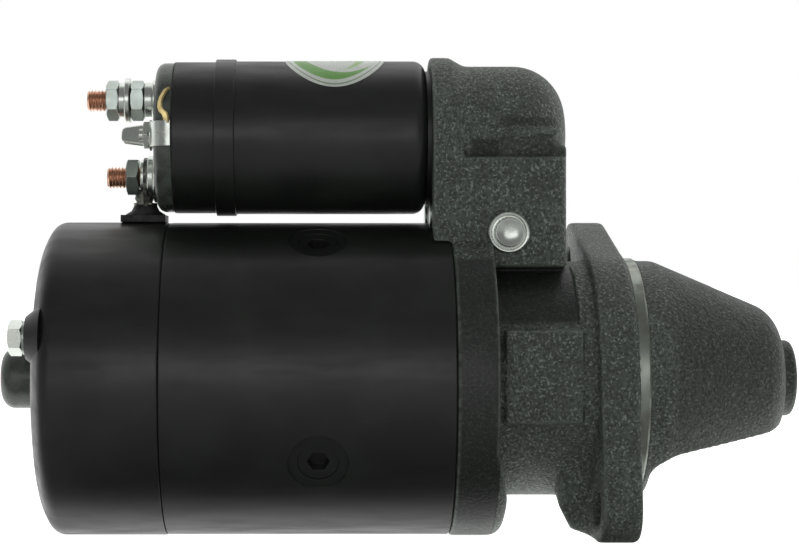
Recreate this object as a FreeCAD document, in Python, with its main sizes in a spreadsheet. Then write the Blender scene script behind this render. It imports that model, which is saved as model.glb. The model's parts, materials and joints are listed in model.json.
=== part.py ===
import FreeCAD, Part
import math
import os
import Sketcher

# Pre-engaged starter motor with its solenoid on top.
# Frame, in millimetres: the origin is where the shaft's axis meets the front face of the
# mounting flange. +X runs along the shaft towards the nose, +Z points up to the solenoid,
# and the side at -Y is called near, the side at +Y far.

SIZES = {
    # yoke and end cover
    "yoke_rear": -167.2, "yoke_front": -64.3, "yoke_radius": 57.5, "yoke_bore": 50.5,
    "cover_face": -212.2, "cover_radius": 57.7, "cover_wall": 2.5,
    "cover_corner_length": 4.7, "cover_corner_depth": 8.2,
    # drive-end housing
    "ring_front": -49.6, "ring_foot": -45.0, "ring_radius": 57.9, "neck_radius": 43.2, "neck_bore": 38.0,
    "flange_back": -13.8, "flange_waist": 46.4, "bolt_circle_radius": 59.0, "bolt_angle": -46.0,
    "low_lobe": 13.0, "high_lobe": 16.2, "flange_hole": 6.75, "flange_hole_rim": 0.6,
    "pilot_radius": 44.45, "pilot_length": 4.3, "nose_root_radius": 43.4, "nose_root_front": 11.3,
    "cone_front": 58.0, "cone_front_radius": 23.5, "boss_radius": 14.05, "boss_front": 63.0,
    "mouth_angle": -118.0, "mouth_rear": 6.8, "mouth_depth": 7.8, "mouth_corner": 10.0,
    # lever chamber and solenoid seat
    "solenoid_height": 89.1, "dome_radius": 26.4, "dome_front": -21.2, "dome_rounding": 19.0,
    "chamber_half": 28.4, "chamber_rear": -60.0, "chamber_front": -23.0,
    "chamber_floor": 41.0, "chamber_top": 80.6, "seat_rear": -71.0, "seat_front": -63.9,
    "seat_radius": 29.6, "pivot_x": -44.1, "pivot_height": 53.4, "pivot_radius": 5.0,
    # solenoid
    "case_rear": -164.4, "case_radius": 28.4, "case_wall": 2.0, "plate_front": -66.0,
    "cap_rear": -171.3, "cap_radius": 27.6, "plunger_radius": 15.0, "stud_offset_up": 13.8,
    "stud_offset_down": 14.8, "stud_radius": 3.6, "stud_free_radius": 3.94,
    "battery_tip": -197.5, "motor_tip": -190.1,
    "nut_across_flats": 13.0, "screw_spread": 16.0, "screw_height": 60.2,
    # shift lever: short arm to the plunger, long arm to the collar, half its swing
    "lever_up": 35.7, "lever_down": 53.4, "lever_half_swing": 9.0,
    # armature
    "shaft_radius": 11.0, "rear_journal": 6.0, "middle_journal": 10.0, "front_journal": 6.0,
    "slide_radius": 7.5, "spline_root": 9.4, "spline_tip": 10.4, "spline_count": 10,
    "core_rear": -150.0, "core_front": -82.0, "core_radius": 34.9, "slot_count": 15,
    "commutator_rear": -186.0, "commutator_front": -163.0, "commutator_radius": 22.5,
    "bar_count": 30, "fit": 0.05,
    # pinion and roller clutch
    "tooth_count": 10, "tooth_module": 3.0, "pinion_rear": 4.0, "pinion_front": 26.0,
    "hub_radius": 14.0, "clutch_rear": -30.0, "clutch_front": -8.5, "clutch_radius": 28.0,
    "roller_radius": 3.75, "roller_circle": 18.15, "roller_count": 5,
    "sleeve_rear": -60.2, "sleeve_radius": 11.8, "collar_radius": 16.5, "groove_half": 4.15,
    # brush gear
    "brush_half": 4.4, "brush_rear": -185.3, "brush_front": -172.7, "brush_inner": 22.8,
    "brush_outer": 38.0, "holder_end": 46.5,
    # fasteners
    "tie_circle": 46.6, "tie_seat": 1.6, "tie_angle": 20.5, "tie_radius": 3.0, "tie_head_flats": 11.0,
    "pole_screw_x": -112.0, "pole_angle": -28.0, "pole_screw_radius": 5.0,
}

doc = FreeCAD.newDocument("starter_motor")
sheet = doc.addObject("Spreadsheet::Sheet", "Sizes")
for row, (alias, value) in enumerate(SIZES.items(), start=1):
    sheet.set(f"A{row}", alias)
    sheet.set(f"B{row}", str(value))
    sheet.setAlias(f"B{row}", alias)
doc.recompute()


class Dim:
    """A length or angle that carries both its number and the sheet formula behind it."""

    def __init__(self, value, formula):
        self.value = value
        self.formula = formula

    def __add__(self, other):
        other = dim(other)
        return Dim(self.value + other.value, f"({self.formula} + {other.formula})")

    def __sub__(self, other):
        other = dim(other)
        return Dim(self.value - other.value, f"({self.formula} - {other.formula})")

    def __mul__(self, other):
        other = dim(other)
        return Dim(self.value * other.value, f"({self.formula} * {other.formula})")

    def __neg__(self):
        return Dim(-self.value, f"(0 - {self.formula})")

    __radd__ = __add__
    __rmul__ = __mul__

    def __rsub__(self, other):
        return dim(other) - self


def dim(value):
    """A plain number becomes a Dim whose formula is that number."""
    if isinstance(value, Dim):
        return value
    return Dim(float(value), f"({value})" if value < 0 else f"{value}")


def size(alias):
    """The sheet cell of that name."""
    return Dim(SIZES[alias], f"Sizes.{alias}")


def turn(radius, angle):
    """Place on the circle of that radius: angle 0 is the near side, 90 degrees is up."""
    radius, angle = dim(radius), dim(angle)
    across = Dim(
        -radius.value * math.cos(math.radians(angle.value)),
        f"(0 - {radius.formula} * cos({angle.formula} * 1deg))",
    )
    upward = Dim(
        radius.value * math.sin(math.radians(angle.value)),
        f"({radius.formula} * sin({angle.formula} * 1deg))",
    )
    return across, upward


def bind(thing, path, value):
    """Tie one property of a document object to the sheet."""
    thing.setExpression(path, dim(value).formula)


# ---- sketches and features --------------------------------------------------------------

PLANES = {"along": "XZ_Plane", "across": "YZ_Plane", "level": "XY_Plane"}
nodes = []


def new_body(label):
    body = doc.addObject("PartDesign::Body", label)
    body.Label = label
    nodes.append(body)
    return body


def sketch_on(body, plane, offset=0, height=0, facing=0):
    """A sketch on one of the body's own origin planes, moved off it by offset.

    "along" draws (x, height) and faces the near side, or the angle facing round the shaft.
    "across" draws (y, height) and faces the nose. height lifts the sketch's origin."""
    sketch = body.newObject("Sketcher::SketchObject", f"{body.Name}_sketch")
    origin = {item.Role: item for item in body.Origin.OriginFeatures}
    sketch.AttachmentSupport = [(origin[PLANES[plane]], "")]
    sketch.MapMode = "FlatFace"
    outward, rise = dim(offset), dim(height)
    if isinstance(facing, Dim) or facing:
        turned = FreeCAD.Rotation(FreeCAD.Vector(1, 0, 0), -dim(facing).value)
        sketch.AttachmentOffset = FreeCAD.Placement(FreeCAD.Vector(), turned)
        backward, rise = turn(offset, facing)
        outward = -backward
    bind(sketch, "AttachmentOffset.Base.z", outward)
    bind(sketch, "AttachmentOffset.Base.y", rise)
    return sketch


def hold(sketch, geometry, point, across, upward):
    """Fix one point of the sketch by its two distances from the sketch's origin."""
    for kind, distance in (("DistanceX", dim(across)), ("DistanceY", dim(upward))):
        rule = Sketcher.Constraint(kind, -1, 1, geometry, point, distance.value)
        index = sketch.addConstraint(rule)
        sketch.setExpression(f"Constraints[{index}]", distance.formula)


def set_radius(sketch, arc, radius):
    index = sketch.addConstraint(Sketcher.Constraint("Radius", arc, radius.value))
    sketch.setExpression(f"Constraints[{index}]", radius.formula)


def polygon(sketch, corners):
    """A closed outline. A corner is (across, upward), or with a third value, its rounding."""
    corners = [[dim(item) for item in corner] for corner in corners]
    count = len(corners)
    points = [FreeCAD.Vector(corner[0].value, corner[1].value, 0) for corner in corners]
    ways = [(points[(step + 1) % count] - points[step]).normalize() for step in range(count)]
    arrive, leave, bends = list(points), list(points), {}
    for step, corner in enumerate(corners):
        if len(corner) == 3:
            before, after = ways[step - 1], ways[step]
            half_turn = before.getAngle(after) / 2
            inward = (after - before).normalize()
            radius = corner[2].value
            arrive[step] = points[step] - before * radius * math.tan(half_turn)
            leave[step] = points[step] + after * radius * math.tan(half_turn)
            crown = points[step] + inward * (radius / math.cos(half_turn) - radius)
            bends[step] = Part.Arc(arrive[step], crown, leave[step])
    first = sketch.GeometryCount
    for step in range(count):
        sketch.addGeometry(Part.LineSegment(leave[step], arrive[(step + 1) % count]))
    for step, corner in enumerate(corners):
        before, after = first + (step - 1) % count, first + step
        if step not in bends:
            sketch.addConstraint(Sketcher.Constraint("Coincident", before, 2, after, 1))
            hold(sketch, after, 1, corner[0], corner[1])
            continue
        arc = sketch.addGeometry(bends[step])
        forward = (sketch.getPoint(arc, 1) - arrive[step]).Length < 1e-6
        tail, head = (1, 2) if forward else (2, 1)
        sketch.addConstraint(Sketcher.Constraint("Tangent", before, 2, arc, tail))
        sketch.addConstraint(Sketcher.Constraint("Tangent", arc, head, after, 1))
        set_radius(sketch, arc, corner[2])
        apex = sketch.addGeometry(Part.Point(points[step]), True)
        hold(sketch, apex, 1, corner[0], corner[1])
        sketch.addConstraint(Sketcher.Constraint("PointOnObject", apex, 1, before))
        sketch.addConstraint(Sketcher.Constraint("PointOnObject", apex, 1, after))


def rectangle(sketch, left, bottom, right, top):
    polygon(sketch, [(left, bottom), (right, bottom), (right, top), (left, top)])


def circle(sketch, across, upward, radius):
    across, upward, radius = dim(across), dim(upward), dim(radius)
    centre = FreeCAD.Vector(across.value, upward.value, 0)
    ring = sketch.addGeometry(Part.Circle(centre, FreeCAD.Vector(0, 0, 1), radius.value))
    hold(sketch, ring, 3, across, upward)
    set_radius(sketch, ring, radius)


def hexagon(sketch, across, upward, flats, lift=0):
    """A hexagon with two corners level with its centre, or turned up by lift degrees."""
    corner = dim(flats) * (1 / math.sqrt(3))
    places = [turn(corner, 60 * step + lift) for step in range(6)]
    polygon(sketch, [(dim(across) + u, dim(upward) + v) for u, v in places])


def belt(sketch, discs):
    """The outline of a belt round discs (across, upward, radius), listed anticlockwise."""
    discs = [tuple(dim(item) for item in disc) for disc in discs]
    count = len(discs)
    leave, arrive = {}, {}
    for step, (u, v, radius) in enumerate(discs):
        next_u, next_v, next_radius = discs[(step + 1) % count]
        run = FreeCAD.Vector(next_u.value - u.value, next_v.value - v.value, 0)
        lean = math.asin((radius.value - next_radius.value) / run.Length)
        side = math.atan2(run.y, run.x) - math.pi / 2 + lean
        out = FreeCAD.Vector(math.cos(side), math.sin(side), 0)
        here = FreeCAD.Vector(u.value, v.value, 0)
        leave[step] = (side, here + out * radius.value)
        there = FreeCAD.Vector(next_u.value, next_v.value, 0)
        arrive[(step + 1) % count] = (side, there + out * next_radius.value)
    for step, (u, v, radius) in enumerate(discs):
        centre = FreeCAD.Vector(u.value, v.value, 0)
        round_part = Part.Circle(centre, FreeCAD.Vector(0, 0, 1), radius.value)
        start = arrive[step][0]
        end = leave[step][0]
        while end < start:
            end += 2 * math.pi
        arc = sketch.addGeometry(Part.ArcOfCircle(round_part, start, end))
        hold(sketch, arc, 3, u, v)
        set_radius(sketch, arc, radius)
        line = Part.LineSegment(leave[step][1], arrive[(step + 1) % count][1])
        sketch.addGeometry(line)
    for step in range(count):
        arc, line = 2 * step, 2 * step + 1
        next_arc = (line + 1) % (2 * count)
        sketch.addConstraint(Sketcher.Constraint("Tangent", arc, 2, line, 1))
        sketch.addConstraint(Sketcher.Constraint("Tangent", line, 2, next_arc, 1))


def sector(sketch, middle, half_angle, inner, outer):
    """A slice of a ring about the shaft, half_angle to each side of the middle angle."""
    middle, inner, outer = dim(middle), dim(inner), dim(outer)
    places = [
        turn(radius, middle + side * half_angle)
        for radius, side in ((inner, -1), (inner, 1), (outer, 1), (outer, -1))
    ]
    points = [FreeCAD.Vector(u.value, v.value, 0) for u, v in places]
    crowns = [
        FreeCAD.Vector(u.value, v.value, 0)
        for u, v in (turn(inner, middle), turn(outer, middle))
    ]
    first = sketch.addGeometry(Part.Arc(points[0], crowns[0], points[1]))
    sketch.addGeometry(Part.LineSegment(points[1], points[2]))
    sketch.addGeometry(Part.Arc(points[2], crowns[1], points[3]))
    sketch.addGeometry(Part.LineSegment(points[3], points[0]))
    # a sketch stores every arc anticlockwise, so its first point may be either end
    for arc, begins, ends, line_before, line_after, radius in (
        (first, 0, 1, first + 3, first + 1, inner),
        (first + 2, 2, 3, first + 1, first + 3, outer),
    ):
        start = sketch.getPoint(arc, 1)
        forward = (start - points[begins]).Length < (start - points[ends]).Length
        tail, head = (1, 2) if forward else (2, 1)
        sketch.addConstraint(Sketcher.Constraint("Coincident", line_before, 2, arc, tail))
        sketch.addConstraint(Sketcher.Constraint("Coincident", arc, head, line_after, 1))
        set_radius(sketch, arc, radius)
    hold(sketch, first + 1, 1, *places[1])
    hold(sketch, first + 1, 2, *places[2])
    hold(sketch, first + 3, 1, *places[3])
    hold(sketch, first + 3, 2, *places[0])


def revolve(body, outline, height=0, cut=False):
    """Turn the closed outline (x, radius) about the X direction at that height."""
    sketch = sketch_on(body, "along", height=height)
    polygon(sketch, outline)
    kind = "PartDesign::Groove" if cut else "PartDesign::Revolution"
    feature = body.newObject(kind, f"{body.Name}_turned")
    feature.Profile = sketch
    feature.ReferenceAxis = (sketch, ["H_Axis"])
    feature.Angle = 360
    return feature


def extrude(body, sketch, length, cut=False, both_ways=False):
    """Pad or pocket the sketch along its normal, or half of the length each way."""
    kind = "PartDesign::Pocket" if cut else "PartDesign::Pad"
    feature = body.newObject(kind, f"{body.Name}_straight")
    feature.Profile = sketch
    if both_ways:
        feature.SideType = "Symmetric"
    elif cut:
        feature.Reversed = True
    bind(feature, "Length", length)
    return feature


def repeat(body, feature, sketch, count):
    """Copy the feature round the normal through the sketch's origin."""
    pattern = body.newObject("PartDesign::PolarPattern", f"{body.Name}_round")
    pattern.Originals = [feature]
    pattern.Axis = (sketch, ["N_Axis"])
    pattern.Angle = 360
    bind(pattern, "Occurrences", count)
    body.Tip = pattern
    return pattern


def round_off(body, radius, wanted, chamfer=False):
    """Fillet or chamfer the edges of the body's last feature that wanted() picks."""
    doc.recompute()
    base = body.Tip
    picked = [
        f"Edge{number}"
        for number, edge in enumerate(base.Shape.Edges, start=1)
        if wanted(edge)
    ]
    kind = "PartDesign::Chamfer" if chamfer else "PartDesign::Fillet"
    feature = body.newObject(kind, f"{body.Name}_rounded")
    feature.Base = (base, picked)
    bind(feature, "Size" if chamfer else "Radius", radius)
    return feature


def rim(x, radius):
    """Picks round edges in a plane across the shaft, at that x and of that radius."""
    x, radius = dim(x).value, dim(radius).value

    def wanted(edge):
        curve = edge.Curve
        if not isinstance(curve, Part.Circle):
            return False
        flat = abs(abs(curve.Axis.x) - 1) < 1e-6
        return flat and abs(curve.Center.x - x) < 1e-3 and abs(curve.Radius - radius) < 1e-3

    return wanted


def turned_body(label, outline, height=0):
    body = new_body(label)
    revolve(body, outline, height)
    return body


def tube(label, rear, front, inner, outer, height=0):
    """A plain ring or bush about the X direction."""
    outline = [(rear, inner), (front, inner), (front, outer), (rear, outer)]
    return turned_body(label, outline, height)


def gather(label, pieces):
    """One node made of several separate solids."""
    for piece in pieces:
        nodes.remove(piece)
    group = doc.addObject("Part::Compound", label)
    group.Label = label
    group.Links = pieces
    nodes.append(group)
    return group


def coil_spring(label, rear, front, mean_radius, wire_radius, turns, axis="x", base=(0, 0, 0)):
    """A round-wire spring from rear to front along the X, Y or Z direction through base.

    Each half turn is half a ring in a plane tilted by the pitch, so that it runs smoothly
    into the next one."""
    rear, front, wire_radius = dim(rear), dim(front), dim(wire_radius)
    length = front.value - rear.value - 2 * wire_radius.value
    half_count = round(2 * turns)
    rise = length / half_count
    lean = math.degrees(math.atan2(rise / 2, mean_radius))
    directions = {
        "x": FreeCAD.Vector(1, 0, 0),
        "y": FreeCAD.Vector(0, 1, 0),
        "z": FreeCAD.Vector(0, 0, 1),
    }
    way = directions[axis]
    start = way * (rear.value + wire_radius.value) + FreeCAD.Vector(*base)
    whole = FreeCAD.Placement(start, FreeCAD.Rotation(FreeCAD.Vector(0, 0, 1), way))
    halves = []
    for number in range(half_count):
        side = -1 if number % 2 else 1
        half = doc.addObject("Part::Torus", f"{label}_half_{number + 1}")
        half.Radius1 = math.hypot(mean_radius, rise / 2)
        bind(half, "Radius2", wire_radius)
        half.Angle3 = 180
        tilt = FreeCAD.Rotation(directions["y"], side * lean)
        half_round = FreeCAD.Rotation(directions["z"], 0 if side > 0 else 180)
        middle = FreeCAD.Vector(0, 0, (number + 0.5) * rise)
        half.Placement = whole.multiply(FreeCAD.Placement(middle, tilt.multiply(half_round)))
        halves.append(half)
    spring = doc.addObject("Part::MultiFuse", label)
    spring.Label = label
    spring.Shapes = halves
    nodes.append(spring)
    return spring


# ---- drive-end housing ------------------------------------------------------------------


def ear_outline(sketch, side, spare=0):
    """The solenoid's screw ear on one side, drawn larger by spare for its pocket."""
    across = size("screw_spread") * side
    tip = (across, size("screw_height"), dim(4.5) + spare)
    root = (across * 0.45, size("solenoid_height") - 8, dim(9) + spare)
    belt(sketch, [tip, root] if side > 0 else [root, tip])


def make_housing():
    body = new_body("drive_end_housing")
    axis_height = size("solenoid_height")

    # cast ring over the yoke, wider at its foot than round the rest
    revolve(body, [
        (size("yoke_front"), 0), (size("ring_foot"), 0), (size("ring_foot"), size("ring_radius"), 5),
        (size("yoke_front"), size("ring_radius")),
    ])
    relief = sketch_on(body, "along")
    polygon(relief, [
        (size("ring_front"), 70), (size("ring_front"), -22), (size("ring_foot"), -42),
        (size("ring_foot") + 2, -42), (size("ring_foot") + 2, 70),
    ])
    extrude(body, relief, 130, cut=True, both_ways=True)

    # two-lobed mounting flange with a chamfered front edge
    low_across, low_upward = turn(size("bolt_circle_radius"), size("bolt_angle"))
    low = (low_across, low_upward, size("low_lobe"))
    high = (-low_across, -low_upward, size("high_lobe"))
    waist = (0, 0, size("flange_waist"))
    edge = dim(1.2)
    for start, length, taper in (
        (size("flange_back"), -size("flange_back") - edge, 0), (-edge, edge, -45),
    ):
        flange = sketch_on(body, "across", offset=start)
        belt(flange, [low, waist, high, waist])
        extrude(body, flange, length).TaperAngle = taper

    # gusset that carries the low lobe back to the neck: a gentle slope, then a steep one
    gentle_length, gentle = dim(8.5), -18
    shrink = gentle_length * math.tan(math.radians(-gentle))
    for start, length, taper, less in (
        (size("flange_back"), gentle_length, gentle, 0),
        (size("flange_back") - gentle_length, dim(4.2), -62, shrink),
    ):
        gusset = sketch_on(body, "across", offset=start)
        belt(gusset, [
            (low_across, low_upward, size("low_lobe") - less),
            (low_across + 9, low_upward, dim(12.6) - less), (-5, -15, dim(31.5) - less),
        ])
        slope = extrude(body, gusset, length)
        slope.Reversed = True
        slope.TaperAngle = taper

    # room for the low bolt's nut, on a face that leans as the casting does
    nut_room = sketch_on(body, "level", offset=-62)
    polygon(nut_room, [
        (-45, -70), (size("flange_back"), -70), (size("flange_back"), -53), (-15.9, -31, 4),
        (-45, -31),
    ])
    extrude(body, nut_room, 50, cut=True)

    # neck, pilot and the cone of the nose
    revolve(body, [
        (size("ring_front") - 2, 0),
        (size("cone_front"), 0),
        (size("cone_front"), size("cone_front_radius"), 14),
        (size("nose_root_front"), size("nose_root_radius"), 3),
        (size("pilot_length"), size("nose_root_radius")),
        (size("pilot_length"), size("pilot_radius")),
        (0, size("pilot_radius")),
        (0, size("neck_radius")),
        (size("ring_front") + 2, size("neck_radius")),
        (size("ring_front"), size("neck_radius") + 2),
        (size("ring_front") - 2, size("neck_radius") + 2),
    ])

    # machined pad and cast pad on the near side of the neck
    for left, right, face in ((-46.6, -39.7, 44.8), (-38.3, -19.5, 44.4)):
        pad = sketch_on(body, "along", offset=face)
        rectangle(pad, left, -13.6, right, 19)
        boss = extrude(body, pad, 8)
        boss.Reversed = True

    # lever chamber on the neck, and the round chamber that the solenoid's plunger enters
    half = size("chamber_half")
    chamber = sketch_on(body, "along")
    rectangle(chamber, size("chamber_rear"), size("chamber_floor"),
              size("chamber_front"), size("chamber_top"))
    extrude(body, chamber, 2 * half, both_ways=True)
    corner_x = SIZES["chamber_front"]

    def front_corner(edge):
        ends = [vertex.Point for vertex in edge.Vertexes]
        upright = len(ends) == 2 and abs(ends[0].z - ends[1].z) > 10
        return upright and all(abs(end.x - corner_x) < 1e-3 for end in ends)

    round_off(body, 4, front_corner)
    revolve(body, [
        (size("chamber_rear"), 0), (size("dome_front"), 0),
        (size("dome_front"), size("dome_radius"), size("dome_rounding")),
        (size("chamber_rear"), size("dome_radius")),
    ], axis_height)

    # core under the round chamber, and the rib along each side at its widest height
    core = sketch_on(body, "along")
    rectangle(core, size("chamber_rear"), size("chamber_top") - 1, -22.6, axis_height - 4)
    extrude(body, core, 2 * 23.5, both_ways=True)
    rib = sketch_on(body, "along")
    rectangle(rib, size("chamber_rear"), axis_height - 0.8, -25.5, axis_height + 1.6)
    extrude(body, rib, 2 * 27.3, both_ways=True)

    # solenoid seat: a flat-sided flange that stands on the ring
    seat = sketch_on(body, "across", offset=size("seat_rear"))
    circle(seat, 0, axis_height, size("seat_radius"))
    seat_length = size("seat_front") - size("seat_rear")
    extrude(body, seat, seat_length)
    block = sketch_on(body, "across", offset=size("seat_rear"))
    rectangle(block, -size("seat_radius"), 44, size("seat_radius"), axis_height)
    extrude(body, block, seat_length)
    strip = sketch_on(body, "across", offset=size("seat_front"))
    strip_half = size("seat_radius") - 0.5
    rectangle(strip, -strip_half, 44, strip_half, axis_height - 3)
    extrude(body, strip, size("chamber_rear") - size("seat_front"))
    collar = [
        (size("seat_front"), 20), (size("chamber_rear") + 1.6, 20),
        (size("chamber_rear") + 1.6, size("dome_radius")), (size("seat_front"), size("seat_radius")),
    ]
    revolve(body, collar, axis_height)
    revolve(body, [
        (size("seat_rear") - 5, 40), (size("yoke_front"), 40),
        (size("yoke_front"), size("ring_radius")), (size("seat_rear") - 5, size("ring_radius")),
    ], cut=True)

    # inside: seat of the middle plate, neck, clutch space, nose and the blind bush bore
    revolve(body, [
        (size("yoke_front") - 1, 0), (size("yoke_front") - 1, 41.1), (-61.3, 41.1),
        (-61.3, size("neck_bore")), (-12, size("neck_bore")), (-6, 33), (8, 33),
        (46.5, 20.6), (46.5, 0),
    ], cut=True)
    revolve(body, [
        (size("seat_rear") - 1, 0), (size("seat_rear") - 1, 25), (size("plate_front"), 25),
        (size("plate_front"), 21.4), (-27, 21.4, 15), (-27, 0),
    ], axis_height, cut=True)
    room = sketch_on(body, "along")
    rectangle(room, -56, 45.2, -27, 76)
    extrude(body, room, 2 * 23.4, cut=True, both_ways=True)
    throat = sketch_on(body, "along")
    rectangle(throat, -56, 30, -27, axis_height)
    extrude(body, throat, 2 * 12.0, cut=True, both_ways=True)

    # mouth: the side of the nose that is open to the ring gear
    mouth = sketch_on(body, "along", facing=size("mouth_angle") - 90)
    depth, outer = size("mouth_depth"), 60
    tip = size("cone_front") + 1
    polygon(mouth, [
        (size("mouth_rear"), outer), (size("mouth_rear"), depth, size("mouth_corner")),
        (tip, depth + 1), (tip, outer),
    ])
    extrude(body, mouth, 120, cut=True, both_ways=True)

    # bush boss at the nose's end, with its blind bore
    revolve(body, [
        (46.5, 8), (size("boss_front") - 4, 8), (size("boss_front") - 4, 0),
        (size("boss_front"), 0), (size("boss_front"), size("boss_radius")),
        (46.5, size("boss_radius")),
    ])
    round_off(body, 1.2, rim(size("boss_front"), size("boss_radius")))
    revolve(body, [(46, 0), (46, 8), (size("boss_front") - 4, 8), (size("boss_front") - 4, 0)],
            cut=True)

    # flange holes
    for across, upward in ((low_across, low_upward), (-low_across, -low_upward)):
        hole = sketch_on(body, "across", offset=size("flange_back") - 4)
        circle(hole, across, upward, size("flange_hole"))
        extrude(body, hole, -size("flange_back") + 5, cut=True)
    rear_rim = rim(size("flange_back"), size("flange_hole"))
    round_off(body, size("flange_hole_rim"), rear_rim, chamfer=True)

    # bores for the pivot screw, the tie bolts and the two solenoid screws
    pivot = sketch_on(body, "along")
    circle(pivot, size("pivot_x"), size("pivot_height"), size("pivot_radius"))
    extrude(body, pivot, 60, cut=True, both_ways=True)
    for angle in (size("tie_angle"), size("tie_angle") + 180):
        across, upward = turn(size("tie_circle"), angle)
        tie = sketch_on(body, "across", offset=size("yoke_front") - 1)
        circle(tie, across, upward, size("tie_radius"))
        extrude(body, tie, 12, cut=True)
    for side in (-1, 1):
        ear = sketch_on(body, "across", offset=size("seat_rear") - 1)
        ear_outline(ear, side, 0.8)
        extrude(body, ear, size("plate_front") - size("seat_rear") + 1, cut=True)
        thread = sketch_on(body, "across", offset=size("plate_front") - 1)
        circle(thread, side * size("screw_spread"), size("screw_height"), 3)
        extrude(body, thread, 7.5, cut=True)
    return body


# ---- yoke, end cover and what holds them ------------------------------------------------


def make_yoke():
    body = tube("field_frame", size("yoke_rear"), size("yoke_front"),
                size("yoke_bore"), size("yoke_radius"))
    for end in ("yoke_rear", "yoke_front"):
        round_off(body, 0.5, rim(size(end), size("yoke_radius")), chamfer=True)
    seat = sketch_on(body, "along", offset=size("yoke_radius") - 1.2,
                     facing=size("pole_angle"))
    circle(seat, size("pole_screw_x"), 0, 10.7)
    dish = extrude(body, seat, 5, cut=True)
    hole = sketch_on(body, "along", offset=size("yoke_bore") - 2, facing=size("pole_angle"))
    circle(hole, size("pole_screw_x"), 0, size("pole_screw_radius"))
    drilling = extrude(body, hole, 12, cut=True)
    sink = sketch_on(body, "along", offset=size("yoke_bore") + 2.5, facing=size("pole_angle"))
    circle(sink, size("pole_screw_x"), 0, 7.3)
    countersink = extrude(body, sink, 8, cut=True)
    pattern_sketch = sketch_on(body, "across")
    circle(pattern_sketch, 0, 0, 1)
    pattern = body.newObject("PartDesign::PolarPattern", "field_frame_round")
    pattern.Originals = [dish, drilling, countersink]
    pattern.Axis = (pattern_sketch, ["N_Axis"])
    pattern.Angle = 360
    pattern.Occurrences = 4
    body.Tip = pattern
    # half of the lead's opening, at the top of the rear edge
    slot = sketch_on(body, "level", offset=size("yoke_bore") - 2)
    rectangle(slot, size("yoke_rear") - 2, -4.5, size("yoke_rear") + 1.5, 4.5)
    extrude(body, slot, 20, cut=True)
    return body


def cover_outline(face, corner_length, corner_depth, radius, open_end):
    """Half section of a cup whose corner tightens outwards, from its axis to its open end."""
    return [
        (face, 0), (face, radius - corner_depth, 17.5), (face + corner_length, radius, 5.6),
        (open_end, radius, 0.5),
    ]


def make_cover():
    body = new_body("commutator_end_cover")
    wall = size("cover_wall")
    outside = cover_outline(size("cover_face"), size("cover_corner_length"),
                            size("cover_corner_depth"), size("cover_radius"), size("yoke_rear"))
    revolve(body, [*outside, (size("yoke_rear"), 0)])
    # two raised seats for the tie-bolt heads, which flare into the corner
    for angle in (size("tie_angle"), size("tie_angle") + 180):
        across, upward = turn(size("tie_circle"), angle)
        seat = sketch_on(body, "across", offset=size("cover_face") - size("tie_seat"))
        circle(seat, across, upward, 7.6)
        flare = extrude(body, seat, 5.5)
        flare.TaperAngle = 38
    # neck that holds the rear bush
    neck = [
        (size("cover_face") - 9.5, 0), (size("cover_face") + 6, 0),
        (size("cover_face") + 6, 10.7), (size("cover_face") - 9.5, 10.7),
    ]
    revolve(body, neck)
    inside = cover_outline(size("cover_face") + wall, size("cover_corner_length"),
                           size("cover_corner_depth"), size("cover_radius") - wall,
                           size("yoke_rear") + 1)
    revolve(body, [*inside, (size("yoke_rear") + 1, 0)], cut=True)
    revolve(body, [
        (size("cover_face") - 10, 0), (size("cover_face") + 7, 0),
        (size("cover_face") + 7, 8.7), (size("cover_face") - 10, 8.7),
    ], cut=True)
    for angle in (size("tie_angle"), size("tie_angle") + 180):
        across, upward = turn(size("tie_circle"), angle)
        hole = sketch_on(body, "across", offset=size("cover_face") - 5)
        circle(hole, across, upward, 3.3)
        extrude(body, hole, 10, cut=True)
    slot = sketch_on(body, "level", offset=size("yoke_bore") - 2)
    rectangle(slot, -183, -4.5, size("yoke_rear") + 1, 4.5)
    extrude(body, slot, 20, cut=True)
    screw_angle = size("tie_angle") + 90
    for angle in (screw_angle, screw_angle + 180):
        across, upward = turn(17, angle)
        hole = sketch_on(body, "across", offset=size("cover_face") - 5)
        circle(hole, across, upward, 2)
        extrude(body, hole, 10, cut=True)
    return body


def make_bearing_cap():
    body = new_body("bearing_cap")
    face = size("cover_face")
    dome = size("cover_face") - 16.8
    foot = sketch_on(body, "across", offset=face - 2)
    first = turn(17, size("tie_angle") + 90)
    second = turn(17, size("tie_angle") + 270)
    belt(foot, [(first[0], first[1], 5), (0, 0, 12.5), (second[0], second[1], 5), (0, 0, 12.5)])
    extrude(body, foot, 2)
    revolve(body, [(dome, 0), (face - 1, 0), (face - 1, 11.3), (dome, 11.3)])
    round_off(body, 5, rim(dome, 11.3))
    revolve(body, [
        (dome + 1.2, 0), (face + 1, 0), (face + 1, 10.75), (dome + 5.4, 10.75),
        (dome + 1.2, 6.4),
    ], cut=True)
    for across, upward in (first, second):
        hole = sketch_on(body, "across", offset=face - 5)
        circle(hole, across, upward, 2)
        extrude(body, hole, 8, cut=True)
    return body


def headed_pin(label, x, across, upward, head, shank, length, recess=0):
    """A cheese-head screw along +X: head is (radius, height) and starts at x."""
    body = new_body(label)
    head_radius, head_height = head
    cap = sketch_on(body, "across", offset=x)
    circle(cap, across, upward, head_radius)
    extrude(body, cap, head_height)
    stem = sketch_on(body, "across", offset=dim(x) + head_height)
    circle(stem, across, upward, shank)
    extrude(body, stem, length)
    if recess:
        socket = sketch_on(body, "across", offset=x)
        hexagon(socket, across, upward, recess)
        extrude(body, socket, dim(head_height) * 0.6, cut=True)
    return body


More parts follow.
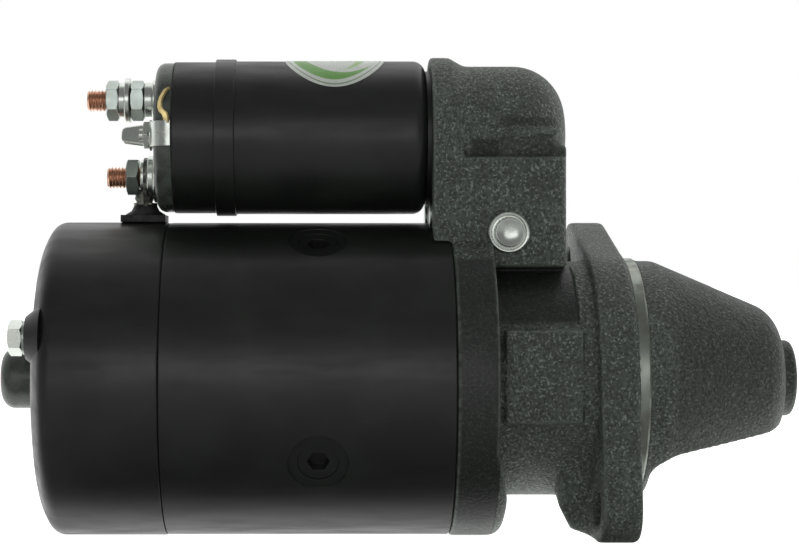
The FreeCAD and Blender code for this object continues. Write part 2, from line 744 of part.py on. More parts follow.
def make_bearing_cap_screws():
    pieces = []
    for name, angle in (("upper", size("tie_angle") + 90), ("lower", size("tie_angle") + 270)):
        across, upward = turn(17, angle)
        pieces.append(headed_pin(f"bearing_cap_screw_{name}", size("cover_face") - 4.6,
                                 across, upward, (3.6, 2.6), 2, 6, recess=3))
    return gather("bearing_cap_screws", pieces)


def make_tie_bolts():
    bolts, washers = [], []
    seat = size("cover_face") - size("tie_seat")
    washer = 1.0
    head = 5.0
    for name, angle in (("near", size("tie_angle")), ("far", size("tie_angle") + 180)):
        across, upward = turn(size("tie_circle"), angle)
        bolt = new_body(f"through_bolt_{name}")
        cap = sketch_on(bolt, "across", offset=seat - washer - head)
        hexagon(cap, across, upward, size("tie_head_flats"), lift=30)
        extrude(bolt, cap, head)
        stem = sketch_on(bolt, "across", offset=seat - washer)
        circle(stem, across, upward, size("tie_radius"))
        extrude(bolt, stem, size("yoke_front") + 10 - seat + washer)
        bolts.append(bolt)
        ring = new_body(f"through_bolt_washer_{name}")
        disc = sketch_on(ring, "across", offset=seat - washer)
        circle(disc, across, upward, 5.9)
        circle(disc, across, upward, size("tie_radius") + 0.2)
        extrude(ring, disc, washer)
        washers.append(ring)
    gather("through_bolts", bolts)
    gather("through_bolt_washers", washers)


def make_poles():
    """Four pole shoes with their screws, and the four coils round them."""
    shoes, screws, coils = [], [], []
    bore = size("yoke_bore")
    for number in range(4):
        angle = size("pole_angle") + 90 * number
        length = size("core_front") - size("core_rear")
        shoe = new_body(f"pole_shoe_{number + 1}")
        tips = sketch_on(shoe, "across", offset=size("core_rear"))
        sector(tips, angle, 32, 35.5, 40)
        extrude(shoe, tips, length)
        stem = sketch_on(shoe, "across", offset=size("core_rear"))
        sector(stem, angle, 19, 39.5, bore - 0.05)
        extrude(shoe, stem, length)
        thread = sketch_on(shoe, "along", offset=bore - 9, facing=angle)
        circle(thread, size("pole_screw_x"), 0, size("pole_screw_radius"))
        extrude(shoe, thread, 20, cut=True)
        shoes.append(shoe)

        coil = new_body(f"field_coil_{number + 1}")
        ring = sketch_on(coil, "across", offset=size("core_rear") - 8)
        sector(ring, angle, 37.0, 40.3, bore - 0.3)
        extrude(coil, ring, length + 16)
        window = sketch_on(coil, "along", offset=30, facing=angle)
        rectangle(window, size("core_rear") - 0.3, -16.6, size("core_front") + 0.3, 16.6)
        extrude(coil, window, 40, cut=True)
        coils.append(coil)

        screw = new_body(f"pole_screw_{number + 1}")
        stem = sketch_on(screw, "along", offset=bore - 8, facing=angle)
        circle(stem, size("pole_screw_x"), 0, size("pole_screw_radius"))
        extrude(screw, stem, 10.5)
        head = sketch_on(screw, "along", offset=bore + 2.5, facing=angle)
        circle(head, size("pole_screw_x"), 0, 7.2)
        extrude(screw, head, 2.9)
        socket = sketch_on(screw, "along", offset=bore + 1.4, facing=angle)
        hexagon(socket, size("pole_screw_x"), 0, 7)
        extrude(screw, socket, 10, cut=True)
        screws.append(screw)
    gather("pole_shoes", shoes)
    gather("field_coils", coils)
    gather("pole_screws", screws)


# ---- brush gear -------------------------------------------------------------------------


def make_brush_gear():
    plate = new_body("brush_plate")
    rear = size("brush_rear") - 3.7
    disc = sketch_on(plate, "across", offset=rear)
    circle(disc, 0, 0, 52)
    circle(disc, 0, 0, 24)
    extrude(plate, disc, 2)
    box_rear = rear + 2
    box = sketch_on(plate, "across", offset=box_rear)
    rectangle(box, 25.5, -6, size("holder_end") + 1.5, 6)
    walls = extrude(plate, box, size("brush_front") + 1.7 - box_rear)
    channel = sketch_on(plate, "across", offset=size("brush_rear") - 0.1)
    half = size("brush_half") + 0.1
    rectangle(channel, 20, -half, size("holder_end"), half)
    hollow = extrude(plate, channel, size("brush_front") - size("brush_rear") + 0.2, cut=True)
    ring = sketch_on(plate, "across")
    circle(ring, 0, 0, 1)
    pattern = plate.newObject("PartDesign::PolarPattern", "brush_plate_round")
    pattern.Originals = [walls, hollow]
    pattern.Axis = (ring, ["N_Axis"])
    pattern.Angle = 360
    pattern.Occurrences = 4
    plate.Tip = pattern
    for angle in (size("tie_angle"), size("tie_angle") + 180):
        across, upward = turn(size("tie_circle"), angle)
        hole = sketch_on(plate, "across", offset=rear - 1)
        circle(hole, across, upward, size("tie_radius") + 0.3)
        extrude(plate, hole, 5, cut=True)

    springs = {
        "top": ("z", 1), "bottom": ("z", -1), "near": ("y", -1), "far": ("y", 1),
    }
    middle = (SIZES["brush_rear"] + SIZES["brush_front"]) / 2
    for name, (axis, way) in springs.items():
        brush = new_body(f"brush_{name}")
        block = sketch_on(brush, "across", offset=size("brush_rear"))
        half = size("brush_half")
        inner, outer = size("brush_inner"), size("brush_outer")
        if way < 0:
            inner, outer = -size("brush_outer"), -size("brush_inner")
        if axis == "z":
            rectangle(block, -half, inner, half, outer)
        else:
            rectangle(block, inner, -half, outer, half)
        extrude(brush, block, size("brush_front") - size("brush_rear"))
        start, end = size("brush_outer") + 0.1, size("holder_end") - 0.1
        if way < 0:
            start, end = -end, -start
        coil_spring(f"brush_spring_{name}", start, end, 3.2, 0.4, 4, axis, (middle, 0, 0))


# ---- armature ---------------------------------------------------------------------------


def make_armature():
    shaft = turned_body("armature_shaft", [
        (-224, 0), (57.5, 0), (57.5, size("front_journal")), (45.4, size("front_journal")),
        (45.4, size("slide_radius")), (-27, size("slide_radius")),
        (-27, size("spline_root")), (-61, size("spline_root")),
        (-61, size("middle_journal")), (-68.5, size("middle_journal")),
        (-68.5, size("shaft_radius")), (-203, size("shaft_radius")),
        (-203, size("rear_journal")), (-224, size("rear_journal")),
    ])
    tooth = sketch_on(shaft, "across", offset=-61)
    rectangle(tooth, size("spline_root") - 1, -1.3, size("spline_tip"), 1.3)
    repeat(shaft, extrude(shaft, tooth, 34), tooth, size("spline_count"))

    core_length = size("core_front") - size("core_rear")
    core = tube("armature_core", size("core_rear"), size("core_front"),
                size("shaft_radius"), size("core_radius"))
    slot = sketch_on(core, "across", offset=size("core_rear") - 1)
    rectangle(slot, 24, -2, 40, 2)
    repeat(core, extrude(core, slot, core_length + 2, cut=True), slot, size("slot_count"))

    winding = turned_body("armature_winding", [
        (size("core_rear") - 12.5, 14), (size("core_rear"), 14), (size("core_rear"), 33.5, 4),
        (size("core_rear") - 12.5, 30, 4),
    ])
    revolve(winding, [
        (size("core_front"), 14), (size("core_front") + 12, 14),
        (size("core_front") + 12, 29, 4), (size("core_front"), 33.5, 4),
    ])
    bar = sketch_on(winding, "across", offset=size("core_rear") - 5)
    rectangle(bar, 24.5, -1.8, 31.5, 1.8)
    repeat(winding, extrude(winding, bar, core_length + 10), bar, size("slot_count"))

    commutator = turned_body("commutator", [
        (size("commutator_rear"), size("shaft_radius")),
        (size("commutator_front"), size("shaft_radius")), (size("commutator_front"), 26),
        (size("commutator_front") - 2.5, 26),
        (size("commutator_front") - 2.5, size("commutator_radius")),
        (size("commutator_rear"), size("commutator_radius")),
    ])
    gap = sketch_on(commutator, "across", offset=size("commutator_rear") - 1)
    rectangle(gap, size("commutator_radius") - 0.9, -0.35, 30, 0.35)
    length = size("commutator_front") - size("commutator_rear") + 2
    repeat(commutator, extrude(commutator, gap, length, cut=True), gap, size("bar_count"))

    tube("stop_ring", 43.0, 45.3, size("slide_radius"), 10.5)
    fit = size("fit")
    tube("commutator_bush", size("cover_face") - 9.5, size("cover_face") + 6,
         size("rear_journal") + fit, 8.7)
    plate = turned_body("middle_bearing_plate", [
        (size("yoke_front"), 12), (-61.3, 12), (-61.3, 41), (size("yoke_front"), 41),
    ])
    revolve(plate, [(-68, 12), (-64, 12), (-64, 15), (-68, 15)])
    tube("middle_bush", -68, -61.4, size("middle_journal") + fit, 12)
    tube("nose_bush", 47, size("boss_front") - 4.2, size("front_journal") + fit, 8)


# ---- pinion drive -----------------------------------------------------------------------


def make_pinion():
    """Ten spur teeth with involute-like flanks on a hub that runs inside the clutch."""
    body = tube("pinion", size("clutch_rear") + 4.4, size("pinion_rear") + 1,
                size("slide_radius") + 1.6, size("hub_radius"))
    module = SIZES["tooth_module"]
    teeth = SIZES["tooth_count"]
    pitch = module * teeth / 2
    tip_radius = pitch + 1.45 * module
    root_radius = pitch - 0.75 * module
    head = sketch_on(body, "across", offset=size("pinion_rear"))
    circle(head, 0, 0, root_radius)
    circle(head, 0, 0, size("slide_radius") + 1.6)
    length = size("pinion_front") - size("pinion_rear")
    extrude(body, head, length)
    tooth = sketch_on(body, "across", offset=size("pinion_rear"))
    root_half, pitch_half, tip_half = 3.5, 2.75, 1.1
    polygon(tooth, [
        (root_radius - 1, -root_half), (root_radius + 0.4, -root_half),
        (pitch + 0.9, -pitch_half), (tip_radius, -tip_half),
        (tip_radius, tip_half), (pitch + 0.9, pitch_half), (root_radius + 0.4, root_half),
        (root_radius - 1, root_half),
    ])
    repeat(body, extrude(body, tooth, length), tooth, size("tooth_count"))
    # lead-in bevel on the front ends of the teeth
    revolve(body, [
        (size("pinion_front") - 3.5, tip_radius + 1), (size("pinion_front") + 1, tip_radius + 1),
        (size("pinion_front") + 1, root_radius + 1),
    ], cut=True)
    tube("pinion_bush", size("clutch_rear") + 6, size("pinion_front") - 1,
         size("slide_radius") + size("fit"), size("slide_radius") + 1.6)


def make_clutch():
    rear, front = size("clutch_rear"), size("clutch_front")
    sleeve = turned_body("drive_sleeve", [
        (size("sleeve_rear"), size("spline_root") + 0.1), (rear + 4, size("spline_root") + 0.1),
        (rear + 4, size("hub_radius") + 0.1), (front - 2, size("hub_radius") + 0.1),
        (front - 2, size("clutch_radius")), (rear, size("clutch_radius"), 2),
        (rear, size("sleeve_radius")), (size("sleeve_rear"), size("sleeve_radius")),
    ])
    groove = sketch_on(sleeve, "across", offset=size("sleeve_rear") - 1)
    rectangle(groove, size("spline_root") - 1, -1.4, size("spline_tip") + 0.1, 1.4)
    cut = extrude(sleeve, groove, rear + 6 - size("sleeve_rear"), cut=True)
    repeat(sleeve, cut, groove, size("spline_count"))
    pocket = sketch_on(sleeve, "across", offset=rear + 4)
    circle(pocket, size("roller_circle"), 0, size("roller_radius") + 0.1)
    room = extrude(sleeve, pocket, front - 2 - rear - 4 + 1, cut=True)
    repeat(sleeve, room, pocket, size("roller_count"))

    rollers = new_body("clutch_rollers")
    roller = sketch_on(rollers, "across", offset=rear + 4.3)
    circle(roller, size("roller_circle"), 0, size("roller_radius"))
    repeat(rollers, extrude(rollers, roller, front - rear - 7), roller, size("roller_count"))
    tube("clutch_cover", front - 2, front, size("hub_radius") + 0.1, size("clutch_radius"))

    middle = size("pivot_x") - size("lever_down") * math.sin(
        math.radians(SIZES["lever_half_swing"]))
    groove_half = size("groove_half")
    turned_body("shift_collar", [
        (middle - groove_half - 2.6, size("sleeve_radius") + 0.06),
        (middle + groove_half + 2.6, size("sleeve_radius") + 0.06),
        (middle + groove_half + 2.6, size("collar_radius")),
        (middle + groove_half, size("collar_radius")), (middle + groove_half, 13.5),
        (middle - groove_half, 13.5), (middle - groove_half, size("collar_radius")),
        (middle - groove_half - 2.6, size("collar_radius")),
    ])
    tube("sleeve_ring", size("sleeve_rear") + 0.1, size("sleeve_rear") + 0.8,
         size("sleeve_radius"), 14)
    coil_spring("meshing_spring", middle + groove_half + 2.7, rear - 0.1, 14.3, 1.3, 3.5)


# ---- shift lever ------------------------------------------------------------------------


def make_lever():
    """Drawn upright about its pivot, then leaned to where it rests."""
    body = new_body("shift_lever")
    up, down = size("lever_up"), size("lever_down")
    hub = sketch_on(body, "along")
    circle(hub, 0, 0, 7.5)
    extrude(body, hub, 43, both_ways=True)
    slab = sketch_on(body, "along")
    polygon(slab, [(-4, -30), (4, -30), (4, 8), (2.5, 14), (2.5, 22), (-2.5, 22), (-2.5, 14),
                   (-4, 8)])
    extrude(body, slab, 16, both_ways=True)
    finger = sketch_on(body, "along")
    rectangle(finger, -2.5, 8, 2.5, up)
    extrude(body, finger, 7, both_ways=True)
    knob = sketch_on(body, "along")
    circle(knob, 0, up, 4)
    extrude(body, knob, 7, both_ways=True)
    bridge = sketch_on(body, "along")
    rectangle(bridge, -4, -32, 4, -24)
    extrude(body, bridge, 42.4, both_ways=True)
    for side in (-1, 1):
        arm = sketch_on(body, "along", offset=side * 19.2)
        rectangle(arm, -4, -down, 4, -28)
        extrude(body, arm, 4, both_ways=True)
        foot = sketch_on(body, "along", offset=side * 19.2)
        circle(foot, 0, -down, 4)
        extrude(body, foot, 4, both_ways=True)
        shoe = sketch_on(body, "along", offset=side * 16)
        circle(shoe, 0, -down, 4)
        extrude(body, shoe, 3.6, both_ways=True)
    bore = sketch_on(body, "along")
    circle(bore, 0, 0, size("pivot_radius") + size("fit"))
    extrude(body, bore, 60, cut=True, both_ways=True)
    lean = FreeCAD.Rotation(FreeCAD.Vector(0, 1, 0), SIZES["lever_half_swing"])
    pivot = FreeCAD.Vector(SIZES["pivot_x"], 0, SIZES["pivot_height"])
    body.Placement = FreeCAD.Placement(pivot, lean)

    screw = new_body("pivot_screw")
    half = size("chamber_half")
    stem = sketch_on(screw, "along", offset=-half + 0.5)
    circle(stem, size("pivot_x"), size("pivot_height"), size("pivot_radius"))
    extrude(screw, stem, 2 * half)
    flange = sketch_on(screw, "along", offset=half)
    circle(flange, size("pivot_x"), size("pivot_height"), 7.4)
    extrude(screw, flange, 1.5)
    head = sketch_on(screw, "along", offset=half + 1)
    hexagon(head, size("pivot_x"), size("pivot_height"), 12)
    extrude(screw, head, 4)


# ---- solenoid ---------------------------------------------------------------------------


def make_solenoid():
    height = size("solenoid_height")
    rear, outer, wall = size("case_rear"), size("case_radius"), size("case_wall")
    front = -72.6
    case = turned_body("solenoid_case", [
        (rear, outer - wall), (rear, outer - 0.4), (-149.6, outer - 0.4),
        (-149.6, outer + 0.6, 0.4), (-142.2, outer + 0.6, 0.4), (-142.2, outer - 0.1),
        (front, outer - 0.1, 4.6), (front, 24.6), (size("plate_front"), 24.6),
        (size("plate_front"), size("plunger_radius") + 0.4),
        (front - 2, size("plunger_radius") + 0.4), (front - 2, outer - wall),
    ], height)
    for side in (-1, 1):
        ear = sketch_on(case, "across", offset=size("plate_front") - 2)
        ear_outline(ear, side)
        extrude(case, ear, 2)
        hole = sketch_on(case, "across", offset=size("plate_front") - 3)
        circle(hole, side * size("screw_spread"), size("screw_height"), 3)
        extrude(case, hole, 4, cut=True)
    revolve(case, [
        (-80, 0), (-60, 0), (-60, size("plunger_radius") + 0.4),
        (-80, size("plunger_radius") + 0.4),
    ], height, cut=True)

    cap_rear, cap_front = size("cap_rear"), rear - 0.5
    cap = turned_body("solenoid_cap", [
        (cap_rear, 0), (cap_rear, size("cap_radius"), 3.2), (cap_front, size("cap_radius")),
        (cap_front, outer - wall - 0.1), (-156.6, outer - wall - 0.1), (-156.6, 23.5),
        (-167.5, 23.5), (-167.5, 0),
    ], height)
    studs = (height + size("stud_offset_up"), height - size("stud_offset_down"))
    for level in studs:
        hole = sketch_on(cap, "across", offset=cap_rear - 1)
        circle(hole, 0, level, size("stud_radius"))
        extrude(cap, hole, 8, cut=True)
    tube("solenoid_gasket", cap_front, rear, outer - wall - 0.1, outer - 0.5, height)

    tube("solenoid_coil", -147.6, front - 2.4, size("plunger_radius") + 1.2,
         outer - wall - 0.4, height)
    turned_body("solenoid_core", [
        (-156.4, 2.6), (-128.2, 2.6), (-128.2, 15), (-148, 15), (-148, 25.9), (-156.4, 25.9),
    ], height)
    plunger = turned_body("plunger", [
        (-116.8, 3.2), (-96, 3.2), (-96, 0), (-32, 0), (-32, 8), (-66.5, 8),
        (-66.5, size("plunger_radius")), (-116.8, size("plunger_radius")),
    ], height)
    knob_x = size("pivot_x") + size("lever_up") * math.sin(
        math.radians(SIZES["lever_half_swing"]))
    slot = sketch_on(plunger, "along")
    rectangle(slot, knob_x - 4.15, height - 12, knob_x + 4.15, height + 4.3)
    extrude(plunger, slot, 7.8, cut=True, both_ways=True)
    on_axis = (0, 0, height.value)
    tube("plunger_spring_seat", -49.3, -47.3, 8, 19.3, height)
    coil_spring("plunger_spring", size("plate_front") + 0.1, -49.4, 17.6, 0.9, 4, base=on_axis)

    turned_body("contact_rod", [
        (-163.8, 0), (-105, 0), (-105, 2.5), (-163.8, 2.5),
    ], height)
    tube("contact_bridge", -160.9, -158.9, 2.5, 16.8, height)
    coil_spring("contact_spring", -167.4, -161.0, 4.6, 0.5, 4, base=on_axis)


def stud(label, tip, level):
    """Copper stud with a thick round head inside the cap."""
    body = new_body(label)
    free_end = 6.3
    shank = sketch_on(body, "across", offset=dim(tip) + free_end)
    circle(shank, 0, level, size("stud_radius"))
    extrude(body, shank, -167.4 - dim(tip) - free_end)
    threaded = sketch_on(body, "across", offset=tip)
    circle(threaded, 0, level, size("stud_free_radius"))
    extrude(body, threaded, free_end)
    round_off(body, 0.6, rim(tip, size("stud_free_radius")), chamfer=True)
    head = sketch_on(body, "across", offset=-167.4)
    circle(head, 0, level, 6.6)
    extrude(body, head, 4)
    return body


def nut(label, x, level, thickness, corner_up=False):
    """A hexagon nut on a stud, its faces level or a corner turned up."""
    body = new_body(label)
    outline = sketch_on(body, "across", offset=x)
    hexagon(outline, 0, level, size("nut_across_flats"), lift=30 if corner_up else 0)
    extrude(body, outline, thickness)
    bore = sketch_on(body, "across", offset=dim(x) - 1)
    circle(bore, 0, level, size("stud_radius"))
    extrude(body, bore, thickness + 2, cut=True)
    return body


def make_terminals():
    height = size("solenoid_height")
    upper = height + size("stud_offset_up")
    lower = height - size("stud_offset_down")
    stud("battery_stud", size("battery_tip"), upper)
    stud("motor_stud", size("motor_tip"), lower)
    gather("battery_nuts", [
        nut("battery_nut_outer", -191.2, upper, 4.8, corner_up=True),
        nut("battery_nut_inner", -181.5, upper, 5.2, corner_up=True),
    ])
    nut("motor_nut", -183.0, lower, 4.8)
    washers = []
    for name, rear, front, radius, level in (
        ("battery_lock_washer", -186.3, -184.0, 6.6, upper),
        ("battery_flat_washer", -183.4, -181.6, 8.4, upper),
        ("battery_seat_washer", -176.2, -171.4, 7.6, upper),
        ("motor_lock_washer", -178.1, -176.6, 6.8, lower),
        ("motor_seat_washer", -175.0, -171.4, 9.2, lower),
    ):
        washers.append(tube(name, rear, front, size("stud_radius") + 0.6, radius, level))
    gather("terminal_washers", washers)

    # lug, braid and the grommet where the field lead passes into the frame
    lead = new_body("field_lead")
    lug = sketch_on(lead, "across", offset=-176.5)
    belt(lug, [(0, lower - 9, 4.4), (0, lower, 7.4)])
    extrude(lead, lug, 1.4)
    hole = sketch_on(lead, "across", offset=-177)
    circle(hole, 0, lower, size("stud_radius") + 0.6)
    extrude(lead, hole, 3, cut=True)
    braid_foot = 49.5
    braid = sketch_on(lead, "level", offset=braid_foot)
    belt(braid, [(-177.4, 0, 3.1), (-174.8, 0, 3.1)])
    extrude(lead, braid, lower - 9.4 - braid_foot)
    grommet = new_body("lead_grommet")
    flange = sketch_on(grommet, "level", offset=size("cover_radius"))
    rectangle(flange, -184.6, -8, -168.2, 8)
    extrude(grommet, flange, 2.6)
    plug = sketch_on(grommet, "level", offset=size("cover_radius") - 4.6)
    rectangle(plug, -182.9, -4.4, size("yoke_rear") - 1.4, 4.4)
    extrude(grommet, plug, 5)
    bore = sketch_on(grommet, "level", offset=45)
    belt(bore, [(-177.4, 0, 3.15), (-174.8, 0, 3.15)])
    extrude(grommet, bore, 30, cut=True)

    # control terminal: a tapered blade that leans back a little, its post, and the strap that
    # folds over the cap's near side
    level = height - 0.2
    near = -size("cap_radius") + 11.5
    lean = 20
    blade = new_body("control_terminal")
    face = level * math.sin(math.radians(lean)) - near * math.cos(math.radians(lean))
    rise = level * math.cos(math.radians(lean)) + near * math.sin(math.radians(lean))
    tab = sketch_on(blade, "along", offset=face, facing=lean)
    polygon(tab, [
        (-175.8, rise - 4.1), (-175.8, rise + 4.1), (-183.4, rise + 2.8, 1.6),
        (-183.4, rise - 2.8, 1.6),
    ])
    extrude(blade, tab, 1.2, both_ways=True)
    post = sketch_on(blade, "across", offset=-177.2)
    circle(post, near, level, 2.5)
    extrude(blade, post, 4.2)
    strap = sketch_on(blade, "across", offset=-173.0)
    rectangle(strap, -size("cap_radius") - 1.1, level - 4.5, near + 4, level + 4.5)
    extrude(blade, strap, 1.1)
    fold = sketch_on(blade, "along", offset=size("cap_radius") + 0.1)
    rectangle(fold, -173.0, level - 4.5, -165.6, level + 4.5)
    extrude(blade, fold, 1.0)
    screw = new_body("control_terminal_nut")
    flats = sketch_on(screw, "across", offset=-175.4)
    hexagon(flats, near, level, 9.5)
    circle(flats, near, level, 2.55)
    extrude(screw, flats, 2.3)


def make_solenoid_screws():
    pieces = []
    for name, side in (("near", -1), ("far", 1)):
        pieces.append(headed_pin(f"solenoid_screw_{name}", size("plate_front") - 5.6,
                                 side * size("screw_spread"), size("screw_height"),
                                 (4.6, 3.6), 3, 8))
    gather("solenoid_screws", pieces)


def make_label():
    """Thin round sticker, wrapped on the solenoid a little to the near side of its top."""
    inner = size("case_radius") - 0.1
    skin = doc.addObject("Part::Cylinder", "label_outer")
    core = doc.addObject("Part::Cylinder", "label_inner")
    punch = doc.addObject("Part::Cylinder", "label_outline")
    along = FreeCAD.Rotation(FreeCAD.Vector(0, 1, 0), 90)
    for item, radius in ((skin, inner + 0.15), (core, inner)):
        bind(item, "Radius", radius)
        item.Height = 60
        item.Placement = FreeCAD.Placement(FreeCAD.Vector(-136, 0, 0), along)
        bind(item, "Placement.Base.z", size("solenoid_height"))
    punch.Radius = 18
    punch.Height = 60
    lean = FreeCAD.Rotation(FreeCAD.Vector(1, 0, 0), 14)
    punch.Placement = FreeCAD.Placement(FreeCAD.Vector(-106, 0, 0), lean)
    bind(punch, "Placement.Base.z", size("solenoid_height"))
    skin_only = doc.addObject("Part::Cut", "label_skin")
    skin_only.Base = skin
    skin_only.Tool = core
    label = doc.addObject("Part::Common", "solenoid_label")
    label.Label = "solenoid_label"
    label.Base = skin_only
    label.Tool = punch
    nodes.append(label)


for build in (make_housing, make_yoke, make_cover, make_bearing_cap, make_bearing_cap_screws,
              make_tie_bolts, make_poles, make_brush_gear, make_armature, make_pinion,
              make_clutch, make_lever, make_solenoid, make_terminals, make_solenoid_screws,
              make_label):
    build()
doc.recompute()
faults = []
for item in doc.Objects:
    if "Invalid" in item.State or "Error" in item.State:
        faults.append(f"{item.Name} {item.State}")
for node in nodes:
    if node.Shape.isNull() or not node.Shape.isValid():
        faults.append(f"{node.Label} has no valid shape")
if faults:
    raise RuntimeError("; ".join(faults))
os.makedirs("parts", exist_ok=True)
for node in nodes:
    node.Shape.exportStep(f"parts/{node.Label}.step")
    print(node.Label, len(node.Shape.Solids), "solids", round(node.Shape.Volume), "mm3")
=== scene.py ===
import json
import math

import bmesh
import bpy
import numpy as np
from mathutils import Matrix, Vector


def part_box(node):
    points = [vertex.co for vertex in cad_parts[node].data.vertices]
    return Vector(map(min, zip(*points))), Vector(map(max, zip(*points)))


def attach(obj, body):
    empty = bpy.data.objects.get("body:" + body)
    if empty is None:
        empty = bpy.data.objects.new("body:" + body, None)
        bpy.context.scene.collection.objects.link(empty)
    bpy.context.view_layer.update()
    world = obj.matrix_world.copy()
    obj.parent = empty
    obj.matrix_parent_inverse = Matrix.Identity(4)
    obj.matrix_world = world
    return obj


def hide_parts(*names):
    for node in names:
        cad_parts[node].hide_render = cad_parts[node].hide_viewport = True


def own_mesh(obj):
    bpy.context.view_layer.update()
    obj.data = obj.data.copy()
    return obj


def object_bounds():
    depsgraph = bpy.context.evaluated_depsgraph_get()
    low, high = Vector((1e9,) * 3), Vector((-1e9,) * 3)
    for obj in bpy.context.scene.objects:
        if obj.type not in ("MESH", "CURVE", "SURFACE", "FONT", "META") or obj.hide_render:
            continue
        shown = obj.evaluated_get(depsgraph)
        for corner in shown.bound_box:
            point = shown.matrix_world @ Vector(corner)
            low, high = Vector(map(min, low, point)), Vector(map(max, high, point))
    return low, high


# Looks of a pre-engaged starter motor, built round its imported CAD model. Everything is in
# metres, in the row frame: the shaft runs along X with the nose at +X, Z is up, and near is
# the side at -Y.

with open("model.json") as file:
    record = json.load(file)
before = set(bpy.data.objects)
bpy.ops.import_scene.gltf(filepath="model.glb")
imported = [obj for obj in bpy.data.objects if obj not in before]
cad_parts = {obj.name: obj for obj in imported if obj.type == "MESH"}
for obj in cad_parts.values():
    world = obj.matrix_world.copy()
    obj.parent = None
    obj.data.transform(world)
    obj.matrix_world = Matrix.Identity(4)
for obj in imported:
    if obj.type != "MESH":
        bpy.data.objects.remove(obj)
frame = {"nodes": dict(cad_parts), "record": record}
cad_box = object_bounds()
scene = bpy.context.scene
MM = 0.001
WHITE = (1, 1, 1, 1)


# ---- camera, light and floor ------------------------------------------------------------

camera = bpy.data.objects.new("camera", bpy.data.cameras.new("camera"))
scene.collection.objects.link(camera)
camera.location = (-0.1128, -0.710, 0.0393)
camera.rotation_euler = (math.radians(90), 0, 0)
camera.data.lens = 86.08
camera.data.sensor_width = 36
camera.data.shift_x = 0.1045
camera.data.clip_start = 0.01
scene.camera = camera
scene.view_settings.view_transform = "Standard"


def soft_box(name, place, aim, width, height, radiance):
    """A rectangular lamp of that radiance that faces the aim."""
    lamp = bpy.data.lights.new(name, "AREA")
    lamp.shape = "RECTANGLE"
    lamp.size, lamp.size_y = width, height
    lamp.energy = radiance * math.pi * width * height
    holder = bpy.data.objects.new(name, lamp)
    scene.collection.objects.link(holder)
    holder.location = place
    holder.rotation_euler = (Vector(aim) - Vector(place)).to_track_quat("-Z", "Y").to_euler()


middle = (-0.075, 0, 0.02)
soft_box("front_soft_box", (-0.15, -1.7, 0.30), middle, 1.3, 0.55, 1.3)
soft_box("top_soft_box", (-0.1, 0.5, 1.5), middle, 1.6, 0.9, 0.23)
soft_box("left_soft_box", (-1.6, -0.5, 0.4), middle, 0.8, 0.9, 0.12)

# the room is dim in front and white behind; the camera itself sees it white all round
world = bpy.data.worlds.new("studio")
scene.world = world
world.use_nodes = True
tree = world.node_tree
background = tree.nodes["Background"]
background.inputs["Color"].default_value = WHITE
direction = tree.nodes.new("ShaderNodeTexCoord").outputs["Generated"]
parts = tree.nodes.new("ShaderNodeSeparateXYZ")
tree.links.new(direction, parts.inputs[0])
fade = tree.nodes.new("ShaderNodeMapRange")
fade.interpolation_type = "SMOOTHSTEP"
for key, value in (("From Min", -0.1), ("From Max", 0.5), ("To Min", 0.20), ("To Max", 1.0)):
    fade.inputs[key].default_value = value
tree.links.new(parts.outputs["Y"], fade.inputs["Value"])
tree.links.new(fade.outputs["Result"], background.inputs["Strength"])
plain = tree.nodes.new("ShaderNodeBackground")
plain.inputs["Color"].default_value = WHITE
plain.inputs["Strength"].default_value = 1.0
choice = tree.nodes.new("ShaderNodeMixShader")
tree.links.new(tree.nodes.new("ShaderNodeLightPath").outputs["Is Camera Ray"], choice.inputs[0])
tree.links.new(background.outputs[0], choice.inputs[1])
tree.links.new(plain.outputs[0], choice.inputs[2])
tree.links.new(choice.outputs[0], tree.nodes["World Output"].inputs["Surface"])

floor_mesh = bpy.data.meshes.new("floor")
reach = 12
level = cad_box[0][2] - 0.2 * MM
corners = [(-reach, -reach), (reach, -reach), (reach, reach), (-reach, reach)]
floor_mesh.from_pydata([(x, y, level) for x, y in corners], [], [(0, 1, 2, 3)])
floor = bpy.data.objects.new("floor", floor_mesh)
scene.collection.objects.link(floor)


# ---- materials --------------------------------------------------------------------------


